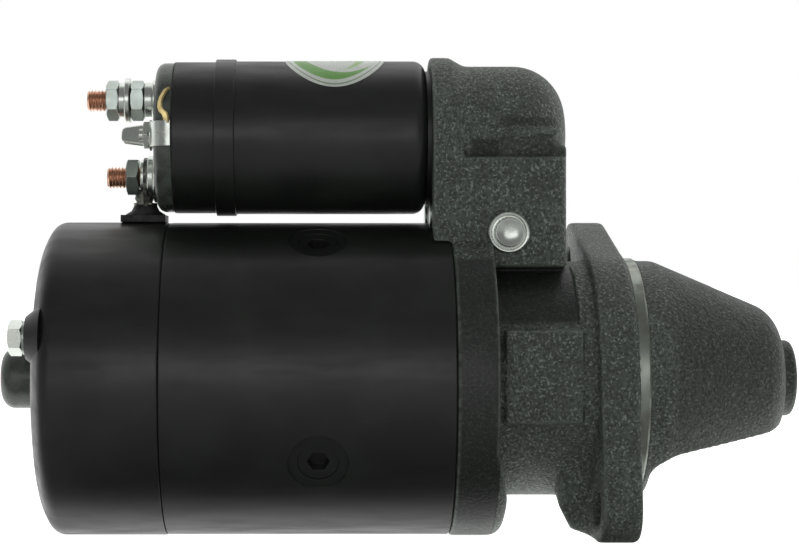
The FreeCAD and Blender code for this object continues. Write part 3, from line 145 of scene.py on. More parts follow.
class Look:
    """One material, built node by node on the row frame's coordinates."""

    def __init__(self, name):
        self.material = bpy.data.materials.new(name)
        self.material.use_nodes = True
        self.tree = self.material.node_tree
        self.shader = self.tree.nodes["Principled BSDF"]
        self.place = self.add("ShaderNodeTexCoord").outputs["Object"]

    def add(self, kind, inputs=None, **settings):
        """A new node with those settings and inputs."""
        node = self.tree.nodes.new(kind)
        for name, value in settings.items():
            setattr(node, name, value)
        for key, value in (inputs or {}).items():
            self.give(node.inputs[key], value)
        return node

    def give(self, socket, value):
        """Links the value to the socket, or sets it when it is a number or a colour."""
        if isinstance(value, bpy.types.NodeSocket):
            self.tree.links.new(value, socket)
        else:
            socket.default_value = value

    def noise(self, size, detail=2.0, stretch=None):
        """Soft noise, 0 to 1, with clouds about that many millimetres across."""
        place = self.place
        if stretch:
            place = self.add("ShaderNodeMapping", {"Vector": place, "Scale": stretch}).outputs[0]
        inputs = {"Vector": place, "Scale": 1000 / size, "Detail": detail}
        return self.add("ShaderNodeTexNoise", inputs).outputs["Fac"]

    def cells(self, size):
        """Distance to scattered points about that many millimetres apart."""
        inputs = {"Vector": self.place, "Scale": 1000 / size}
        return self.add("ShaderNodeTexVoronoi", inputs).outputs["Distance"]

    def span(self, value, low, high, to_low=0.0, to_high=1.0):
        """Goes softly from to_low to to_high as the value goes from low to high."""
        inputs = {"Value": value, "From Min": low, "From Max": high,
                  "To Min": to_low, "To Max": to_high}
        node = self.add("ShaderNodeMapRange", inputs, interpolation_type="SMOOTHSTEP")
        return node.outputs["Result"]

    def sum(self, first, second, share=1.0):
        """first plus share times second."""
        node = self.add("ShaderNodeMath", {0: second, 1: share, 2: first},
                        operation="MULTIPLY_ADD")
        return node.outputs[0]

    def product(self, first, second):
        return self.add("ShaderNodeMath", {0: first, 1: second}, operation="MULTIPLY").outputs[0]

    def mix(self, share, first, second):
        """The first colour at share 0, the second at share 1."""
        node = self.add("ShaderNodeMix", {0: share}, data_type="RGBA")
        self.give(node.inputs[6], first)
        self.give(node.inputs[7], second)
        return node.outputs[2]

    def axes(self):
        """The row frame's x, y and z, in metres."""
        return self.add("ShaderNodeSeparateXYZ", {0: self.place}).outputs

    def band(self, value, low, high, soft=1.0):
        """1 between two places in millimetres, 0 outside, fading over soft either side."""
        rise = self.span(value, (low - soft) * MM, (low + soft) * MM)
        return self.product(rise, self.span(value, (high + soft) * MM, (high - soft) * MM))

    def edges(self, width):
        """1 on corners that a fillet of that many millimetres would round, 0 elsewhere."""
        bevel = self.add("ShaderNodeBevel", {"Radius": width * MM}, samples=4)
        normal = self.add("ShaderNodeNewGeometry").outputs["Normal"]
        same = self.add("ShaderNodeVectorMath", {0: bevel.outputs[0], 1: normal},
                        operation="DOT_PRODUCT")
        return self.span(same.outputs["Value"], 0.99, 0.85)

    def finish(self, colour, roughness, height=None, depth=0.05, metal=0.0, rounding=0.25):
        """Wires the shader. depth is the bump's height and rounding the radius that corners
        seem to have, both in millimetres."""
        self.give(self.shader.inputs["Base Color"], colour)
        self.give(self.shader.inputs["Roughness"], roughness)
        self.shader.inputs["Metallic"].default_value = metal
        normal = None
        if rounding:
            bevel = self.add("ShaderNodeBevel", {"Radius": rounding * MM}, samples=4)
            normal = bevel.outputs[0]
        if height is not None:
            bump = self.add("ShaderNodeBump", {"Height": height, "Distance": depth * MM})
            if normal is not None:
                self.give(bump.inputs["Normal"], normal)
            normal = bump.outputs[0]
        if normal is not None:
            self.give(self.shader.inputs["Normal"], normal)
        return self.material


def grey(value, tint=(1.0, 1.0, 1.0)):
    """A grey of that brightness, leaning to the tint."""
    return (value * tint[0], value * tint[1], value * tint[2], 1)


GREENISH = (0.94, 1.09, 0.95)


def cast_iron(name, base=0.145):
    """Black paint on sand-cast iron: sparkling grain, a painted highlight with some wear on the
    outer corners, painted shade in the recesses and inner corners.
    """
    look = Look(name)
    # a near-black for painted shade in the recesses and inner corners, also used for the nose's
    # darker tone
    soot_and_shade = grey(0.012, GREENISH)
    x, y, z = look.axes()
    side = look.add("ShaderNodeMath", {0: y}, operation="ABSOLUTE").outputs[0]
    # below 0.5 in inner corners, above it on outer ones
    bend = look.add("ShaderNodeNewGeometry").outputs["Pointiness"]
    # the ring over the yoke and the upper half of the neck are smooth
    ring = look.product(look.band(x, -70, -49.2, 0.5), look.span(z, 0.046, 0.042))
    neck = look.product(look.band(x, -49, -20, 1), look.band(z, 21, 41, 2))
    smooth = look.span(look.sum(ring, neck), 0, 1, 0, 0.85)
    grain = look.noise(1.2, 4)
    sparks = look.noise(0.9, 3)
    waves = look.noise(7, 2)
    patches = look.span(look.noise(16, 3), 0.35, 0.7)
    colour = look.mix(patches, grey(base * 0.8, GREENISH), grey(base * 1.15, GREENISH))
    colour = look.mix(look.span(grain, 0.60, 0.38, 0, 0.8), colour, grey(base * 0.36, GREENISH))
    colour = look.mix(look.span(sparks, 0.54, 0.68, 0, 0.7), colour, grey(base * 3.0, GREENISH))
    colour = look.mix(smooth, colour, grey(0.014, GREENISH))
    nose = look.span(x, 0.010, 0.016, 0, 0.5)
    colour = look.mix(nose, colour, soot_and_shade)
    # painted shade: dark bands in the recesses on both sides of the lever chamber
    chamber = look.product(look.band(x, -57, -23.2, 0.8), look.span(side, 0.018, 0.021))
    upper = look.product(look.band(z, 91.6, 95.2, 0.8), look.span(x, -0.050, -0.045))
    hollows = look.sum(upper, look.band(z, 81.0, 87.9, 0.9), 0.75)
    pocket = look.product(look.band(x, -58.5, -47.5, 0.7), look.band(z, 80.2, 86.6, 0.7))
    grime_and_shade = look.product(chamber, look.span(look.sum(hollows, pocket, 0.6), 0, 1.6, 0, 0.8))
    colour = look.mix(grime_and_shade, colour, soot_and_shade)
    # painted shade: inner corners and creases darkened
    colour = look.mix(look.span(bend, 0.49, 0.44, 0, 0.8), colour, soot_and_shade)
    # painted highlight with some wear: outer corners paler everywhere, more so where the noise is
    # high
    wear_and_highlight = look.product(look.span(bend, 0.508, 0.548),
                        look.span(look.noise(3, 3), 0.3, 0.7, 0.3, 0.9))
    colour = look.mix(wear_and_highlight, colour, grey(0.24, GREENISH))
    height = look.product(look.sum(look.sum(grain, waves, 0.8), sparks, 0.5),
                          look.sum(1.0, smooth, -0.9))
    rough = look.span(look.sum(patches, smooth, -1.0), -1, 1, 0.38, 0.56)
    return look.finish(colour, rough, height, 0.9, rounding=0)


def satin_paint(name, base=0.018, shine=0.36):
    """Smooth black paint on steel, with a little orange peel, dust and rub marks."""
    look = Look(name)
    cloud = look.noise(22, 3)
    peel = look.noise(1.3, 1)
    dust = look.span(look.cells(2.3), 0.10, 0.04, 0, 0.35)
    colour = look.mix(look.span(cloud, 0.35, 0.7), grey(base * 0.85, GREENISH),
                      grey(base * 1.3, GREENISH))
    colour = look.mix(look.product(dust, look.span(look.noise(9, 2), 0.5, 0.7)), colour,
                      grey(0.09, GREENISH))
    wear_and_highlight = look.product(look.edges(0.35), look.span(look.noise(4, 3), 0.45, 0.8, 0, 0.5))
    colour = look.mix(wear_and_highlight, colour, grey(0.16, GREENISH))
    rough = look.span(look.noise(6, 3, (0.25, 1, 1)), 0.3, 0.75, shine - 0.05, shine + 0.10)
    return look.finish(colour, rough, look.sum(peel, cloud, 2.0), 0.018, rounding=0.3)


def moulded_plastic(name, base=0.085):
    """Black thermoset with a fine matt grain and a painted highlight along its edges."""
    look = Look(name)
    grain = look.noise(0.45, 3)
    flow = look.span(look.noise(5, 4), 0.3, 0.75)
    colour = look.mix(flow, grey(base * 0.8, GREENISH), grey(base * 1.6, GREENISH))
    # painted highlight: every edge paler
    colour = look.mix(look.product(look.edges(0.7), 0.7), colour, grey(0.34, GREENISH))
    return look.finish(colour, look.span(flow, 0, 1, 0.26, 0.36), grain, 0.04, rounding=0.6)


def plated(name, tone=(0.50, 0.56, 0.53), shine=0.30):
    """Zinc-plated steel: a little blue and yellow, with faint clouds and handling marks."""
    look = Look(name)
    cloud = look.span(look.noise(9, 2), 0.3, 0.7)
    pale = (tone[0], tone[1], tone[2], 1)
    warm = (tone[0] * 0.90, tone[1] * 0.90, tone[2] * 0.82, 1)
    colour = look.mix(look.product(cloud, 0.5), pale, warm)
    grime_and_shade = look.product(look.span(look.noise(1.6, 4), 0.58, 0.78), 0.3)
    colour = look.mix(grime_and_shade, colour, grey(0.2, GREENISH))
    scratches = look.noise(0.35, 2, (1, 0.15, 1))
    rough = look.span(cloud, 0, 1, shine - 0.04, shine + 0.08)
    return look.finish(colour, rough, scratches, 0.012, metal=1.0, rounding=0.3)


def turned_metal(name, tone, shine=0.25, lines=0.35):
    """Bare turned metal: fine rings round the shaft and a film of oil in patches."""
    look = Look(name)
    rings = look.noise(lines, 1, (1, 0.02, 0.02))
    film = look.span(look.noise(6, 3), 0.35, 0.75)
    colour = look.mix(look.product(film, 0.5), (*tone, 1),
                      (tone[0] * 0.5, tone[1] * 0.47, tone[2] * 0.42, 1))
    rough = look.span(film, 0, 1, shine, shine + 0.2)
    return look.finish(colour, rough, rings, 0.02, metal=1.0, rounding=0.2)


def wound(name, tone):
    """Enamelled copper turns wound round the shaft's direction."""
    look = Look(name)
    bands = look.add("ShaderNodeTexWave", {"Vector": look.place, "Scale": 110.0,
                                           "Distortion": 1.2, "Detail": 2.0},
                     wave_type="RINGS", rings_direction="X").outputs["Fac"]
    colour = look.mix(look.span(bands, 0.1, 0.6), grey(0.02), (*tone, 1))
    return look.finish(colour, look.span(look.noise(4), 0.3, 0.7, 0.3, 0.5), bands, 0.2,
                       metal=0.6)


def laminated(name):
    """Stacked sheet iron, with a seam at each sheet."""
    look = Look(name)
    sheets = look.noise(0.5, 0, (1, 0.01, 0.01))
    colour = look.mix(look.span(sheets, 0.4, 0.6), grey(0.05), grey(0.16))
    return look.finish(colour, look.span(look.noise(5), 0.3, 0.7, 0.4, 0.6), sheets, 0.1,
                       metal=0.9)


def threaded_copper(name):
    """Copper with a thread: a little tarnish in clouds, and pale crests."""
    look = Look(name)
    cloud = look.span(look.noise(1.6, 3), 0.35, 0.7)
    colour = look.mix(cloud, (0.78, 0.48, 0.34, 1), (0.60, 0.33, 0.22, 1))
    colour = look.mix(look.product(look.edges(0.3), 0.6), colour, (0.82, 0.54, 0.39, 1))
    return look.finish(colour, look.span(cloud, 0, 1, 0.30, 0.45), look.noise(0.4, 2), 0.03,
                       metal=1.0, rounding=0.1)


def pressed_carbon(name):
    """Matt black carbon with specks of metal."""
    look = Look(name)
    specks = look.noise(0.5, 3)
    colour = look.mix(look.span(specks, 0.4, 0.8), grey(0.02), grey(0.09, (1.1, 0.95, 0.9)))
    return look.finish(colour, look.span(specks, 0.3, 0.8, 0.35, 0.6), specks, 0.04)


def rubber(name):
    """Black rubber, dusty in places."""
    look = Look(name)
    grain = look.noise(0.6, 3)
    colour = look.mix(look.span(look.noise(4, 3), 0.4, 0.75), grey(0.012), grey(0.05))
    return look.finish(colour, look.span(grain, 0.3, 0.7, 0.5, 0.7), grain, 0.05, rounding=0.5)


def tinned_braid(name):
    """Tinned copper strands, dark with soot in patches."""
    look = Look(name)
    strands = look.noise(0.5, 2)
    soot_and_shade = look.span(look.noise(2.2, 3), 0.30, 0.62)
    colour = look.mix(soot_and_shade, (0.34, 0.34, 0.30, 1), (0.07, 0.075, 0.065, 1))
    return look.finish(colour, look.span(strands, 0.3, 0.7, 0.35, 0.55), strands, 0.08,
                       metal=0.85, rounding=0)


def printed_film(name, centre):
    """A white film with a plain pair of green crescents and a thin rim line."""
    look = Look(name)
    # the film's slope, down towards the near side
    lean = math.radians(14)

    def disc(across, along, radius, soft=0.35):
        """1 inside that circle on the film, measured from its middle in millimetres."""
        place = (centre[0] + across * MM,
                 centre[1] + along * MM * math.cos(lean), centre[2] + along * MM * math.sin(lean))
        level = look.add("ShaderNodeVectorMath", {0: look.place, 1: place},
                         operation="SUBTRACT").outputs[0]
        flat = look.add("ShaderNodeMapping", {"Vector": level, "Rotation": (-lean, 0, 0),
                                              "Scale": (1, 1, 0.25)}).outputs[0]
        length = look.add("ShaderNodeVectorMath", {0: flat}, operation="LENGTH")
        return look.span(length.outputs["Value"], (radius + soft) * MM, (radius - soft) * MM)

    def crescent(outer, inner):
        """The outer disc less the inner one."""
        hollow = look.sum(1.0, disc(*inner), -1.0)
        return look.product(disc(*outer), hollow)

    first = crescent((0, 0, 15.2), (3.0, 1.6, 13.4))
    second = crescent((-0.5, 0.5, 11.6), (-3.2, -1.8, 10.8))
    rim = look.product(disc(0, 0, 17.0, 0.2), look.sum(1.0, disc(0, 0, 16.6, 0.2), -1.0))
    paper = look.mix(look.span(look.noise(7, 2), 0.3, 0.7), (0.80, 0.86, 0.78, 1),
                     (0.90, 0.94, 0.88, 1))
    colour = look.mix(first, paper, (0.17, 0.48, 0.07, 1))
    colour = look.mix(second, colour, (0.40, 0.70, 0.22, 1))
    colour = look.mix(rim, colour, (0.25, 0.36, 0.20, 1))
    return look.finish(colour, look.span(look.noise(3), 0.3, 0.7, 0.25, 0.4),
                       look.noise(1.1, 1), 0.01, rounding=0.1)


label_low, label_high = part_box("solenoid_label")
label_centre = (label_low + label_high) / 2
LOOKS = {
    "housing_iron": cast_iron("cast_iron_paint"),
    "black_paint": satin_paint("satin_black_paint"),
    "black_plastic": moulded_plastic("black_moulding"),
    "zinc_steel": plated("zinc_plate"),
    "steel": turned_metal("turned_steel", (0.52, 0.52, 0.50)),
    "iron_core": laminated("sheet_iron"),
    "stud_copper": threaded_copper("stud_copper"),
    "winding_copper": wound("enamelled_copper", (0.55, 0.22, 0.08)),
    "bronze": turned_metal("bush_bronze", (0.62, 0.42, 0.20)),
    "brass_strap": turned_metal("brass", (0.72, 0.58, 0.26), 0.3, 0.6),
    "carbon": pressed_carbon("brush_carbon"),
    "spring_steel": turned_metal("spring_steel", (0.32, 0.32, 0.31), 0.35),
    "black_rubber": rubber("black_rubber"),
    "braid": tinned_braid("tinned_braid"),
    "label_film": printed_film("plain_label", label_centre),
}
for part in frame["record"]["subparts"]:
    holder = frame["nodes"][part["node"]]
    for place in holder.material_slots:
        place.material = LOOKS[part["material_slot"]]

# the floor is pale all over, and glows from under the object to the back
floor_look = Look("floor_card")
lit = floor_look.span(floor_look.axes()["Y"], -0.046, -0.024)
speck = floor_look.mix(floor_look.noise(30, 2), grey(0.86), grey(0.90))
floor_mesh.materials.append(floor_look.finish(
    floor_look.mix(lit, grey(0.70), speck), 0.8, rounding=0))
floor_look.shader.inputs["Emission Color"].default_value = WHITE
floor_look.give(floor_look.shader.inputs["Emission Strength"], floor_look.product(lit, 0.97))


# ---- mesh pieces ------------------------------------------------------------------------


def piece(name, mesh, look, body="root", stands_for=(), angle=32):
    """Puts a mesh in the scene as a piece of the object, which rides on that body and stands
    for those CAD nodes. Corners above that angle, in degrees, are sharp."""
    mesh.polygons.foreach_set("use_smooth", [True] * len(mesh.polygons))
    mesh.set_sharp_from_angle(angle=math.radians(angle))
    mesh.materials.clear()
    mesh.materials.append(look)
    made = bpy.data.objects.new(name, mesh)
    scene.collection.objects.link(made)
    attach(made, body)
    if stands_for:
        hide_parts(*stands_for)
    return made


def skin(rings, loop=False):
    """Points and faces of the surface through rings of equally many points."""
    count = len(rings[0])
    points = [point for ring in rings for point in ring]
    faces = []
    last = len(rings) if loop else len(rings) - 1
    for step in range(last):
        here, there = step * count, (step + 1) % len(rings) * count
        for side in range(count):
            after = (side + 1) % count
            faces.append((here + side, there + side, there + after, here + after))
    if not loop:
        faces.append(tuple(range(count)))
        faces.append(tuple(reversed(range(len(points) - count, len(points)))))
    return points, faces


def joined(name, shells):
    """One mesh of several shells, each with its faces turned outwards."""
    mesh = bpy.data.meshes.new(name)
    points, faces = [], []
    for shell_points, shell_faces in shells:
        start = len(points)
        points += shell_points
        faces += [tuple(start + corner for corner in face) for face in shell_faces]
    mesh.from_pydata([tuple(point) for point in points], [], faces)
    work = bmesh.new()
    work.from_mesh(mesh)
    bmesh.ops.recalc_face_normals(work, faces=work.faces)
    work.to_mesh(mesh)
    work.free()
    return mesh


def ring_at(x, radius, centre, count=72):
    """A ring across the shaft's direction. x and radius are numbers or go by the angle."""
    ring = []
    for step in range(count):
        angle = 2 * math.pi * step / count
        reach = radius(angle) if callable(radius) else radius
        shift = x(angle) if callable(x) else x
        ring.append((shift, centre[0] - reach * math.cos(angle),
                     centre[1] + reach * math.sin(angle)))
    return ring


def lathe(profile, centre, loop=True, count=72):
    """A turned shell along the shaft's direction, through a profile of x and radius."""
    return skin([ring_at(x, radius, centre, count) for x, radius in profile], loop)


def bevelled_tube(rear, front, inner, outer, centre, bevel):
    """A tube with its two outer corners bevelled."""
    return lathe([
        (rear, inner), (rear, outer - bevel), (rear + bevel, outer), (front - bevel, outer),
        (front, outer - bevel), (front, inner),
    ], centre)


def hexagon(flats, corner):
    """Radius by angle of a hexagon that wide across its flats. corner is the angle of one of
    its corners, in degrees."""
    def radius(angle):
        turned = (math.degrees(angle) - corner) % 60 - 30
        return flats / 2 / math.cos(math.radians(turned))
    return radius


def hex_nut(rear, front, flats, bore, centre, corner=30, capped=False):
    """A nut with its corners chamfered, or a bolt head when capped."""
    outline = hexagon(flats, corner)
    # the chamfer starts on a circle a little inside the flats
    face = flats * 0.475
    slope = math.tan(math.radians(30))

    def rear_edge(angle):
        return rear + (outline(angle) - face) * slope

    def front_edge(angle):
        return front - (outline(angle) - face) * slope

    lip = 0.4 * MM
    rings = [
        ring_at(rear, face, centre), ring_at(rear_edge, outline, centre),
        ring_at(front_edge, outline, centre), ring_at(front, face, centre),
    ]
    if capped:
        return skin(rings)
    return skin([
        ring_at(rear + lip, bore, centre), ring_at(rear, bore + lip, centre), *rings,
        ring_at(front, bore + lip, centre), ring_at(front - lip, bore, centre),
    ], True)


def thread(tip, end, crest, pitch, centre, depth=0.6 * MM):
    """A threaded rod with a bevelled tip."""
    steps_per_turn, bevel = 12, 0.7 * MM
    steps = round((end - tip) / pitch * steps_per_turn)
    rings = []
    for step in range(steps + 1):
        x = tip + (end - tip) * step / steps

        def radius(angle, x=x):
            phase = (x / pitch + angle / (2 * math.pi)) % 1
            groove = min(1, max(0, abs(2 * phase - 1) * 1.35 - 0.15))
            return min(crest - depth * groove, crest - bevel + (x - tip) * 0.9)

        rings.append(ring_at(x, radius, centre, 60))
    return skin(rings)


def split_washer(rear, front, inner, outer, centre, start):
    """A spring lock washer: one flat turn, cut and sprung apart. start is in degrees."""
    thick = (front - rear) * 0.8
    steps, sweep = 60, 352
    rings = []
    for step in range(steps + 1):
        share = step / steps
        angle = math.radians(start + sweep * share)
        x = rear + (front - rear - thick) * share
        rings.append([
            (x + dx, centre[0] - radius * math.cos(angle), centre[1] + radius * math.sin(angle))
            for dx, radius in ((0, inner), (thick, inner), (thick, outer), (0, outer))
        ])
    return skin(rings)


def islands(node):
    """The box of each separate solid of a CAD node, sorted along X."""
    work = bmesh.new()
    work.from_mesh(frame["nodes"][node].data)
    bmesh.ops.remove_doubles(work, verts=work.verts, dist=1e-6)
    seen, boxes = set(), []
    for seed in work.verts:
        if seed in seen:
            continue
        group, front = [], [seed]
        seen.add(seed)
        while front:
            vert = front.pop()
            group.append(vert.co.copy())
            for edge in vert.link_edges:
                other = edge.other_vert(vert)
                if other not in seen:
                    seen.add(other)
                    front.append(other)
        boxes.append((Vector(map(min, zip(*group))), Vector(map(max, zip(*group)))))
    work.free()
    return sorted(boxes, key=lambda box: box[0].x)


def centre_of(box):
    """The y and z of a box's axis along the shaft's direction."""
    return ((box[0].y + box[1].y) / 2, (box[0].z + box[1].z) / 2)


# ---- terminals --------------------------------------------------------------------------

zinc = LOOKS["zinc_steel"]
bright_zinc = plated("bright_zinc_plate", (0.74, 0.78, 0.74), 0.24)
STUD_RADIUS = 4 * MM
STUD_NUT_FLATS = 13 * MM
STUD_PITCH = 1.25 * MM

for node in ("battery_stud", "motor_stud"):
    low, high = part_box(node)
    centre = centre_of((low, high))
    head_rear = high.x - 4 * MM
    head = [(head_rear, 3.4 * MM), (head_rear, 6.4 * MM), (high.x, 6.4 * MM),
            (high.x, 3.4 * MM)]
    shells = [thread(low.x, high.x - 3 * MM, STUD_RADIUS * 0.985, STUD_PITCH, centre),
              lathe(head, centre, False)]
    piece(f"{node}_threaded", joined(node, shells), LOOKS["stud_copper"],
          stands_for=[node])

for node, corner in (("battery_nuts", 30), ("motor_nut", 0)):
    boxes = islands(node)
    shells = []
    for box in boxes:
        # the outer battery nut is screwed down on its washers
        shift = 0.8 * MM if box is boxes[0] and len(boxes) > 1 else 0
        shells.append(hex_nut(box[0].x + shift, box[1].x + shift, STUD_NUT_FLATS,
                              STUD_RADIUS, centre_of(box), corner))
    piece(f"{node}_chamfered", joined(node, shells), zinc, stands_for=[node])

shells = []
for box in islands("terminal_washers"):
    centre = centre_of(box)
    rear, front = box[0].x, box[1].x
    outer = (box[1].z - box[0].z) / 2
    if 6.5 * MM < outer < 7 * MM:
        # a lock washer
        shells.append(split_washer(rear + 0.5 * MM, front + 0.7 * MM, STUD_RADIUS, outer,
                                   centre, 200))
    elif front - rear > 3 * MM:
        # a stack: thick plain washer, and a wider thin one against the cap
        step = rear + (front - rear) * 0.62
        shells.append(bevelled_tube(rear, step, STUD_RADIUS, outer * 0.88, centre, 0.25 * MM))
        shells.append(bevelled_tube(step, front, STUD_RADIUS, outer, centre, 0.3 * MM))
    else:
        shells.append(bevelled_tube(rear, front, STUD_RADIUS, outer, centre, 0.2 * MM))
piece("terminal_washers_turned", joined("washers", shells), bright_zinc,
      stands_for=["terminal_washers"])


# ---- screws -----------------------------------------------------------------------------

TIE_HEAD, TIE_FLATS, TIE_RADIUS = 5 * MM, 11 * MM, 3.1 * MM
shells = []
for box in islands("through_bolts"):
    centre = centre_of(box)
    head_front = box[0].x + TIE_HEAD
    shells.append(hex_nut(box[0].x, head_front, TIE_FLATS, 0, centre, 30, capped=True))
    shank = [(head_front - MM, TIE_RADIUS), (box[1].x, TIE_RADIUS)]
    shells.append(lathe(shank, centre, False, 40))
piece("through_bolts_chamfered", joined("tie_bolts", shells), bright_zinc,
      stands_for=["through_bolts"])


def across(shell):
    """The same shell turned from the shaft's direction to the near-far direction."""
    points, faces = shell
    return [(y, x, z) for x, y, z in points], faces


low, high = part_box("pivot_screw")
pivot = ((low.x + high.x) / 2, (low.z + high.z) / 2)
# depth behind the head's rim and radius, in millimetres: a dished head on a round collar
pivot_profile = [
    (1.0, 0.0), (0.95, 1.8), (0.6, 3.7), (0.1, 4.5), (0.0, 4.8), (0.3, 5.2), (1.2, 5.3),
    (3.6, 5.35), (3.7, 6.0), (2.7, 6.3), (2.6, 6.9), (3.1, 7.35), (3.9, 7.4), (4.6, 7.4),
    (4.6, 4.0),
]
least_radius = 0.01 * MM
head = [(low.y + depth * MM, radius * MM + least_radius) for depth, radius in pivot_profile]
shank = [(low.y + 4.5 * MM, 4.9 * MM), (high.y, 4.9 * MM)]
shells = [across(lathe(head, pivot, False, 64)), across(lathe(shank, pivot, False, 48))]
piece("pivot_screw_turned", joined("pivot_screw", shells), bright_zinc,
      stands_for=["pivot_screw"])


# ---- coil wire strip and control terminal -----------------------------------------------


def ribbon(path, width, thick, side):
    """A flat strip along a path of points in millimetres. side is its width's direction."""
    path = [Vector(point) * MM for point in path]
    side = Vector(side).normalized()
    rings = []
    for step, point in enumerate(path):
        ahead = path[min(step + 1, len(path) - 1)] - path[max(step - 1, 0)]
        out = ahead.cross(side).normalized() * thick / 2
        edge = side * width / 2
        rings.append([tuple(point + edge + out), tuple(point + edge - out),
                      tuple(point - edge - out), tuple(point - edge + out)])
    return skin(rings)


strip = ribbon([
    (-166.3, -28.3, 92.4), (-166.4, -28.2, 94.6), (-166.9, -27.9, 96.0), (-168.2, -27.0, 97.0),
    (-168.9, -26.0, 98.4), (-168.9, -25.2, 100.2), (-168.4, -24.6, 102.0), (-167.6, -24.0, 103.6),
    (-166.9, -23.4, 104.8), (-166.2, -22.8, 105.4),
], 2.8 * MM, 0.7 * MM, (0.6, -0.75, 0.1))
piece("coil_wire_strip", joined("coil_wire_strip", [strip]), LOOKS["brass_strap"],
      angle=60)

low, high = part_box("control_terminal")
level = (low.z + high.z) / 2 / MM
bent = ribbon([
    (-172.3, -12.0, level), (-172.3, -20.5, level), (-172.0, -23.2, level),
    (-171.2, -25.2, level), (-169.9, -27.0, level), (-168.3, -28.1, level),
    (-166.4, -28.5, level), (-164.9, -28.6, level),
], 9.0 * MM, 1.0 * MM, (0, 0, 1))
lean = math.radians(20)
post = (-16.1 * MM, level * MM)
post_radius = 2.4 * MM
# the blade's outline in x and height, drawn in at its two faces for the bevel
blade_middle = -179.3
outline = [(-175.2, -4.1), (-175.2, 4.1), (-182.0, 3.1), (-183.0, 2.4), (-183.4, 1.4),
           (-183.4, -1.4), (-183.0, -2.4), (-182.0, -3.1)]
blade = []
for depth, share in ((-0.8, 0.86), (-0.45, 1.0), (0.45, 1.0), (0.8, 0.86)):
    ring = []
    for x, rise in outline:
        x, rise = blade_middle + (x - blade_middle) * (1 + share) / 2, rise * share
        ring.append((x * MM, post[0] + (rise * math.sin(lean) + depth * math.cos(lean)) * MM,
                     post[1] + (rise * math.cos(lean) - depth * math.sin(lean)) * MM))
    blade.append(ring)
rod = lathe([(-177.0 * MM, post_radius), (-172.0 * MM, post_radius)], post, False)
piece("control_blade", joined("control_blade", [bent, skin(blade), rod]), bright_zinc,
      stands_for=["control_terminal"])
low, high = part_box("control_terminal_nut")
shells = [hex_nut(low.x, high.x, 9.5 * MM, post_radius, post, 0),
          bevelled_tube(high.x, high.x + 0.7 * MM, post_radius, 5.6 * MM, post, 0.15 * MM)]
piece("control_nut_chamfered", joined("control_nut", shells), bright_zinc,
      stands_for=["control_terminal_nut"])

# the moulded cap's rim, which stands a little proud where it meets the case
low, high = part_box("solenoid_cap")
rim_front = high.x - 0.1 * MM
rim = bevelled_tube(rim_front - 1.3 * MM, rim_front, 27.2 * MM, 27.95 * MM,
                    (0, (low.z + high.z) / 2), 0.35 * MM)
piece("cap_rim", joined("cap_rim", [rim]), LOOKS["black_plastic"])


# ---- field lead: its crimp, and the boot of its grommet ---------------------------------

low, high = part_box("field_lead")
lead = ((low.x + high.x) / 2, (low.y + high.y) / 2)
grommet_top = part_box("lead_grommet")[1].z


def upright(profile, centre, squash):
    """A turned shell about the vertical through centre, squashed along the shaft. The
    profile is height above the grommet and radius, in millimetres."""
    points, faces = lathe(
        [(grommet_top + rise * MM, radius * MM) for rise, radius in profile], (0, 0), False, 48)
    return [(centre[0] + y * squash, centre[1] + z, x) for x, y, z in points], faces


boot = upright([(-0.6, 7.4), (0.4, 6.9), (1.6, 5.0), (3.4, 4.1), (4.0, 3.6)], lead, 1.05)
piece("grommet_boot", joined("grommet_boot", [boot]), LOOKS["black_rubber"],
      angle=50)
crimp = upright([(2.6, 3.9), (5.0, 3.3), (6.2, 4.0), (8.0, 3.6), (9.6, 2.6)],
                (lead[0] - 0.4 * MM, lead[1]), 0.9)
piece("lead_crimp", joined("lead_crimp", [crimp]), LOOKS["braid"], angle=50)


# ---- springs: each deforming node of a joint, copied in spring steel --------------------

for joint in frame["record"]["behaviour"]["joints"]:
    for entry in joint.get("deforming_nodes", ()):
        node = entry["node"]
        letter = entry["mode"][-1]
        index = "xyz".index(letter)
        low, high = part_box(node)
        anchor = list((low + high) / 2)
        anchor[index] = entry[f"fixed_end_{letter}_m"]
        spring = piece(f"{node}_coiled", frame["nodes"][node].data.copy(),
                       LOOKS["spring_steel"], stands_for=[node], angle=40)
        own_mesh(spring)


# ---- cast housing -----------------------------------------------------------------------


PILOT_MIDDLE, PILOT_HALF = 2.3 * MM, 2.2 * MM
PILOT_RADIUS, PILOT_MARGIN, PILOT_SUNK = 44.4 * MM, 0.9 * MM, 0.6 * MM


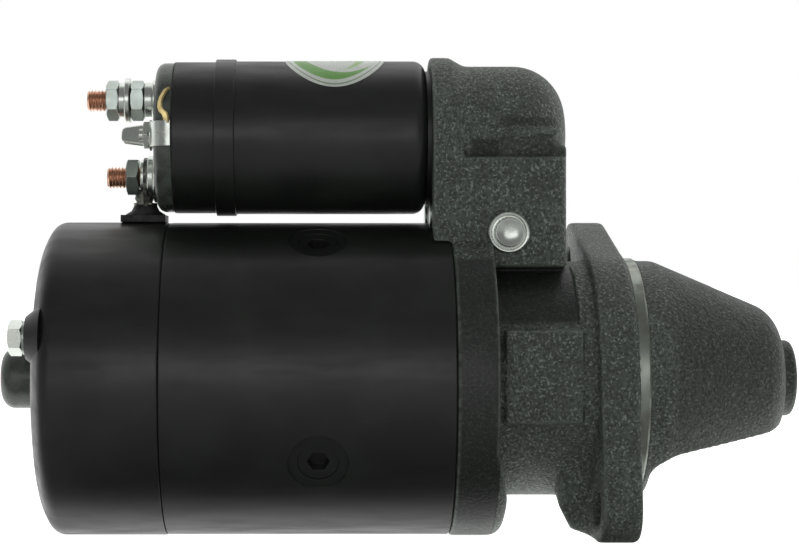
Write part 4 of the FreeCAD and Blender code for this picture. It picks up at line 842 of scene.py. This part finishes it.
def cast_copy(name, node, voxel, rounds, crisper_from):
    """A CAD node with its corners rounded as in a sand casting, a little less so past
    crisper_from, and sunk under the machined pilot, which is a piece of its own."""
    work = bmesh.new()
    work.from_mesh(frame["nodes"][node].data)
    bmesh.ops.remove_doubles(work, verts=work.verts, dist=1e-6)
    shell = bpy.data.meshes.new(name + "_shell")
    work.to_mesh(shell)
    work.free()
    holder = bpy.data.objects.new(name + "_shell", shell)
    scene.collection.objects.link(holder)
    remesh = holder.modifiers.new("remesh", "REMESH")
    remesh.mode = "VOXEL"
    remesh.voxel_size = voxel
    bpy.context.view_layer.update()
    ready = holder.evaluated_get(bpy.context.evaluated_depsgraph_get())
    mesh = bpy.data.meshes.new_from_object(ready)
    bpy.data.objects.remove(holder)
    count = len(mesh.vertices)
    places = np.empty(count * 3, np.float32)
    mesh.vertices.foreach_get("co", places)
    places = places.reshape(-1, 3).astype(float)
    edges = np.empty(len(mesh.edges) * 2, np.int32)
    mesh.edges.foreach_get("vertices", edges)
    first, second = edges.reshape(-1, 2).T
    degree = np.bincount(edges, minlength=count)
    weight = np.where(places[:, 0] > crisper_from, 0.5, 0.6)[:, None]
    for _ in range(rounds):
        total = np.stack([
            np.bincount(first, places[second, axis], count)
            + np.bincount(second, places[first, axis], count)
            for axis in range(3)
        ], axis=1)
        places += weight * (total / degree[:, None] - places)
    reach = np.hypot(places[:, 1], places[:, 2])
    pilot = ((np.abs(places[:, 0] - PILOT_MIDDLE) < PILOT_HALF)
             & (np.abs(reach - PILOT_RADIUS) < PILOT_MARGIN))
    places[pilot, 1:] *= ((reach[pilot] - PILOT_SUNK) / reach[pilot])[:, None]
    mesh.vertices.foreach_set("co", places.astype(np.float32).ravel())
    mesh.update()
    return mesh


housing = cast_copy("housing", "drive_end_housing", voxel=0.7 * MM, rounds=6,
                    crisper_from=4.6 * MM)
piece("housing_casting", housing, LOOKS["housing_iron"],
      stands_for=["drive_end_housing"], angle=180)
pilot_ring = lathe([
    (0.0, 42 * MM), (0.0, 44.46 * MM), (3.6 * MM, 44.46 * MM), (4.31 * MM, 43.8 * MM),
    (4.31 * MM, 42 * MM),
], (0, 0), True, 160)
piece("pilot_machined", joined("pilot", [pilot_ring]),
      turned_metal("machined_pilot", (0.34, 0.37, 0.33), 0.34))
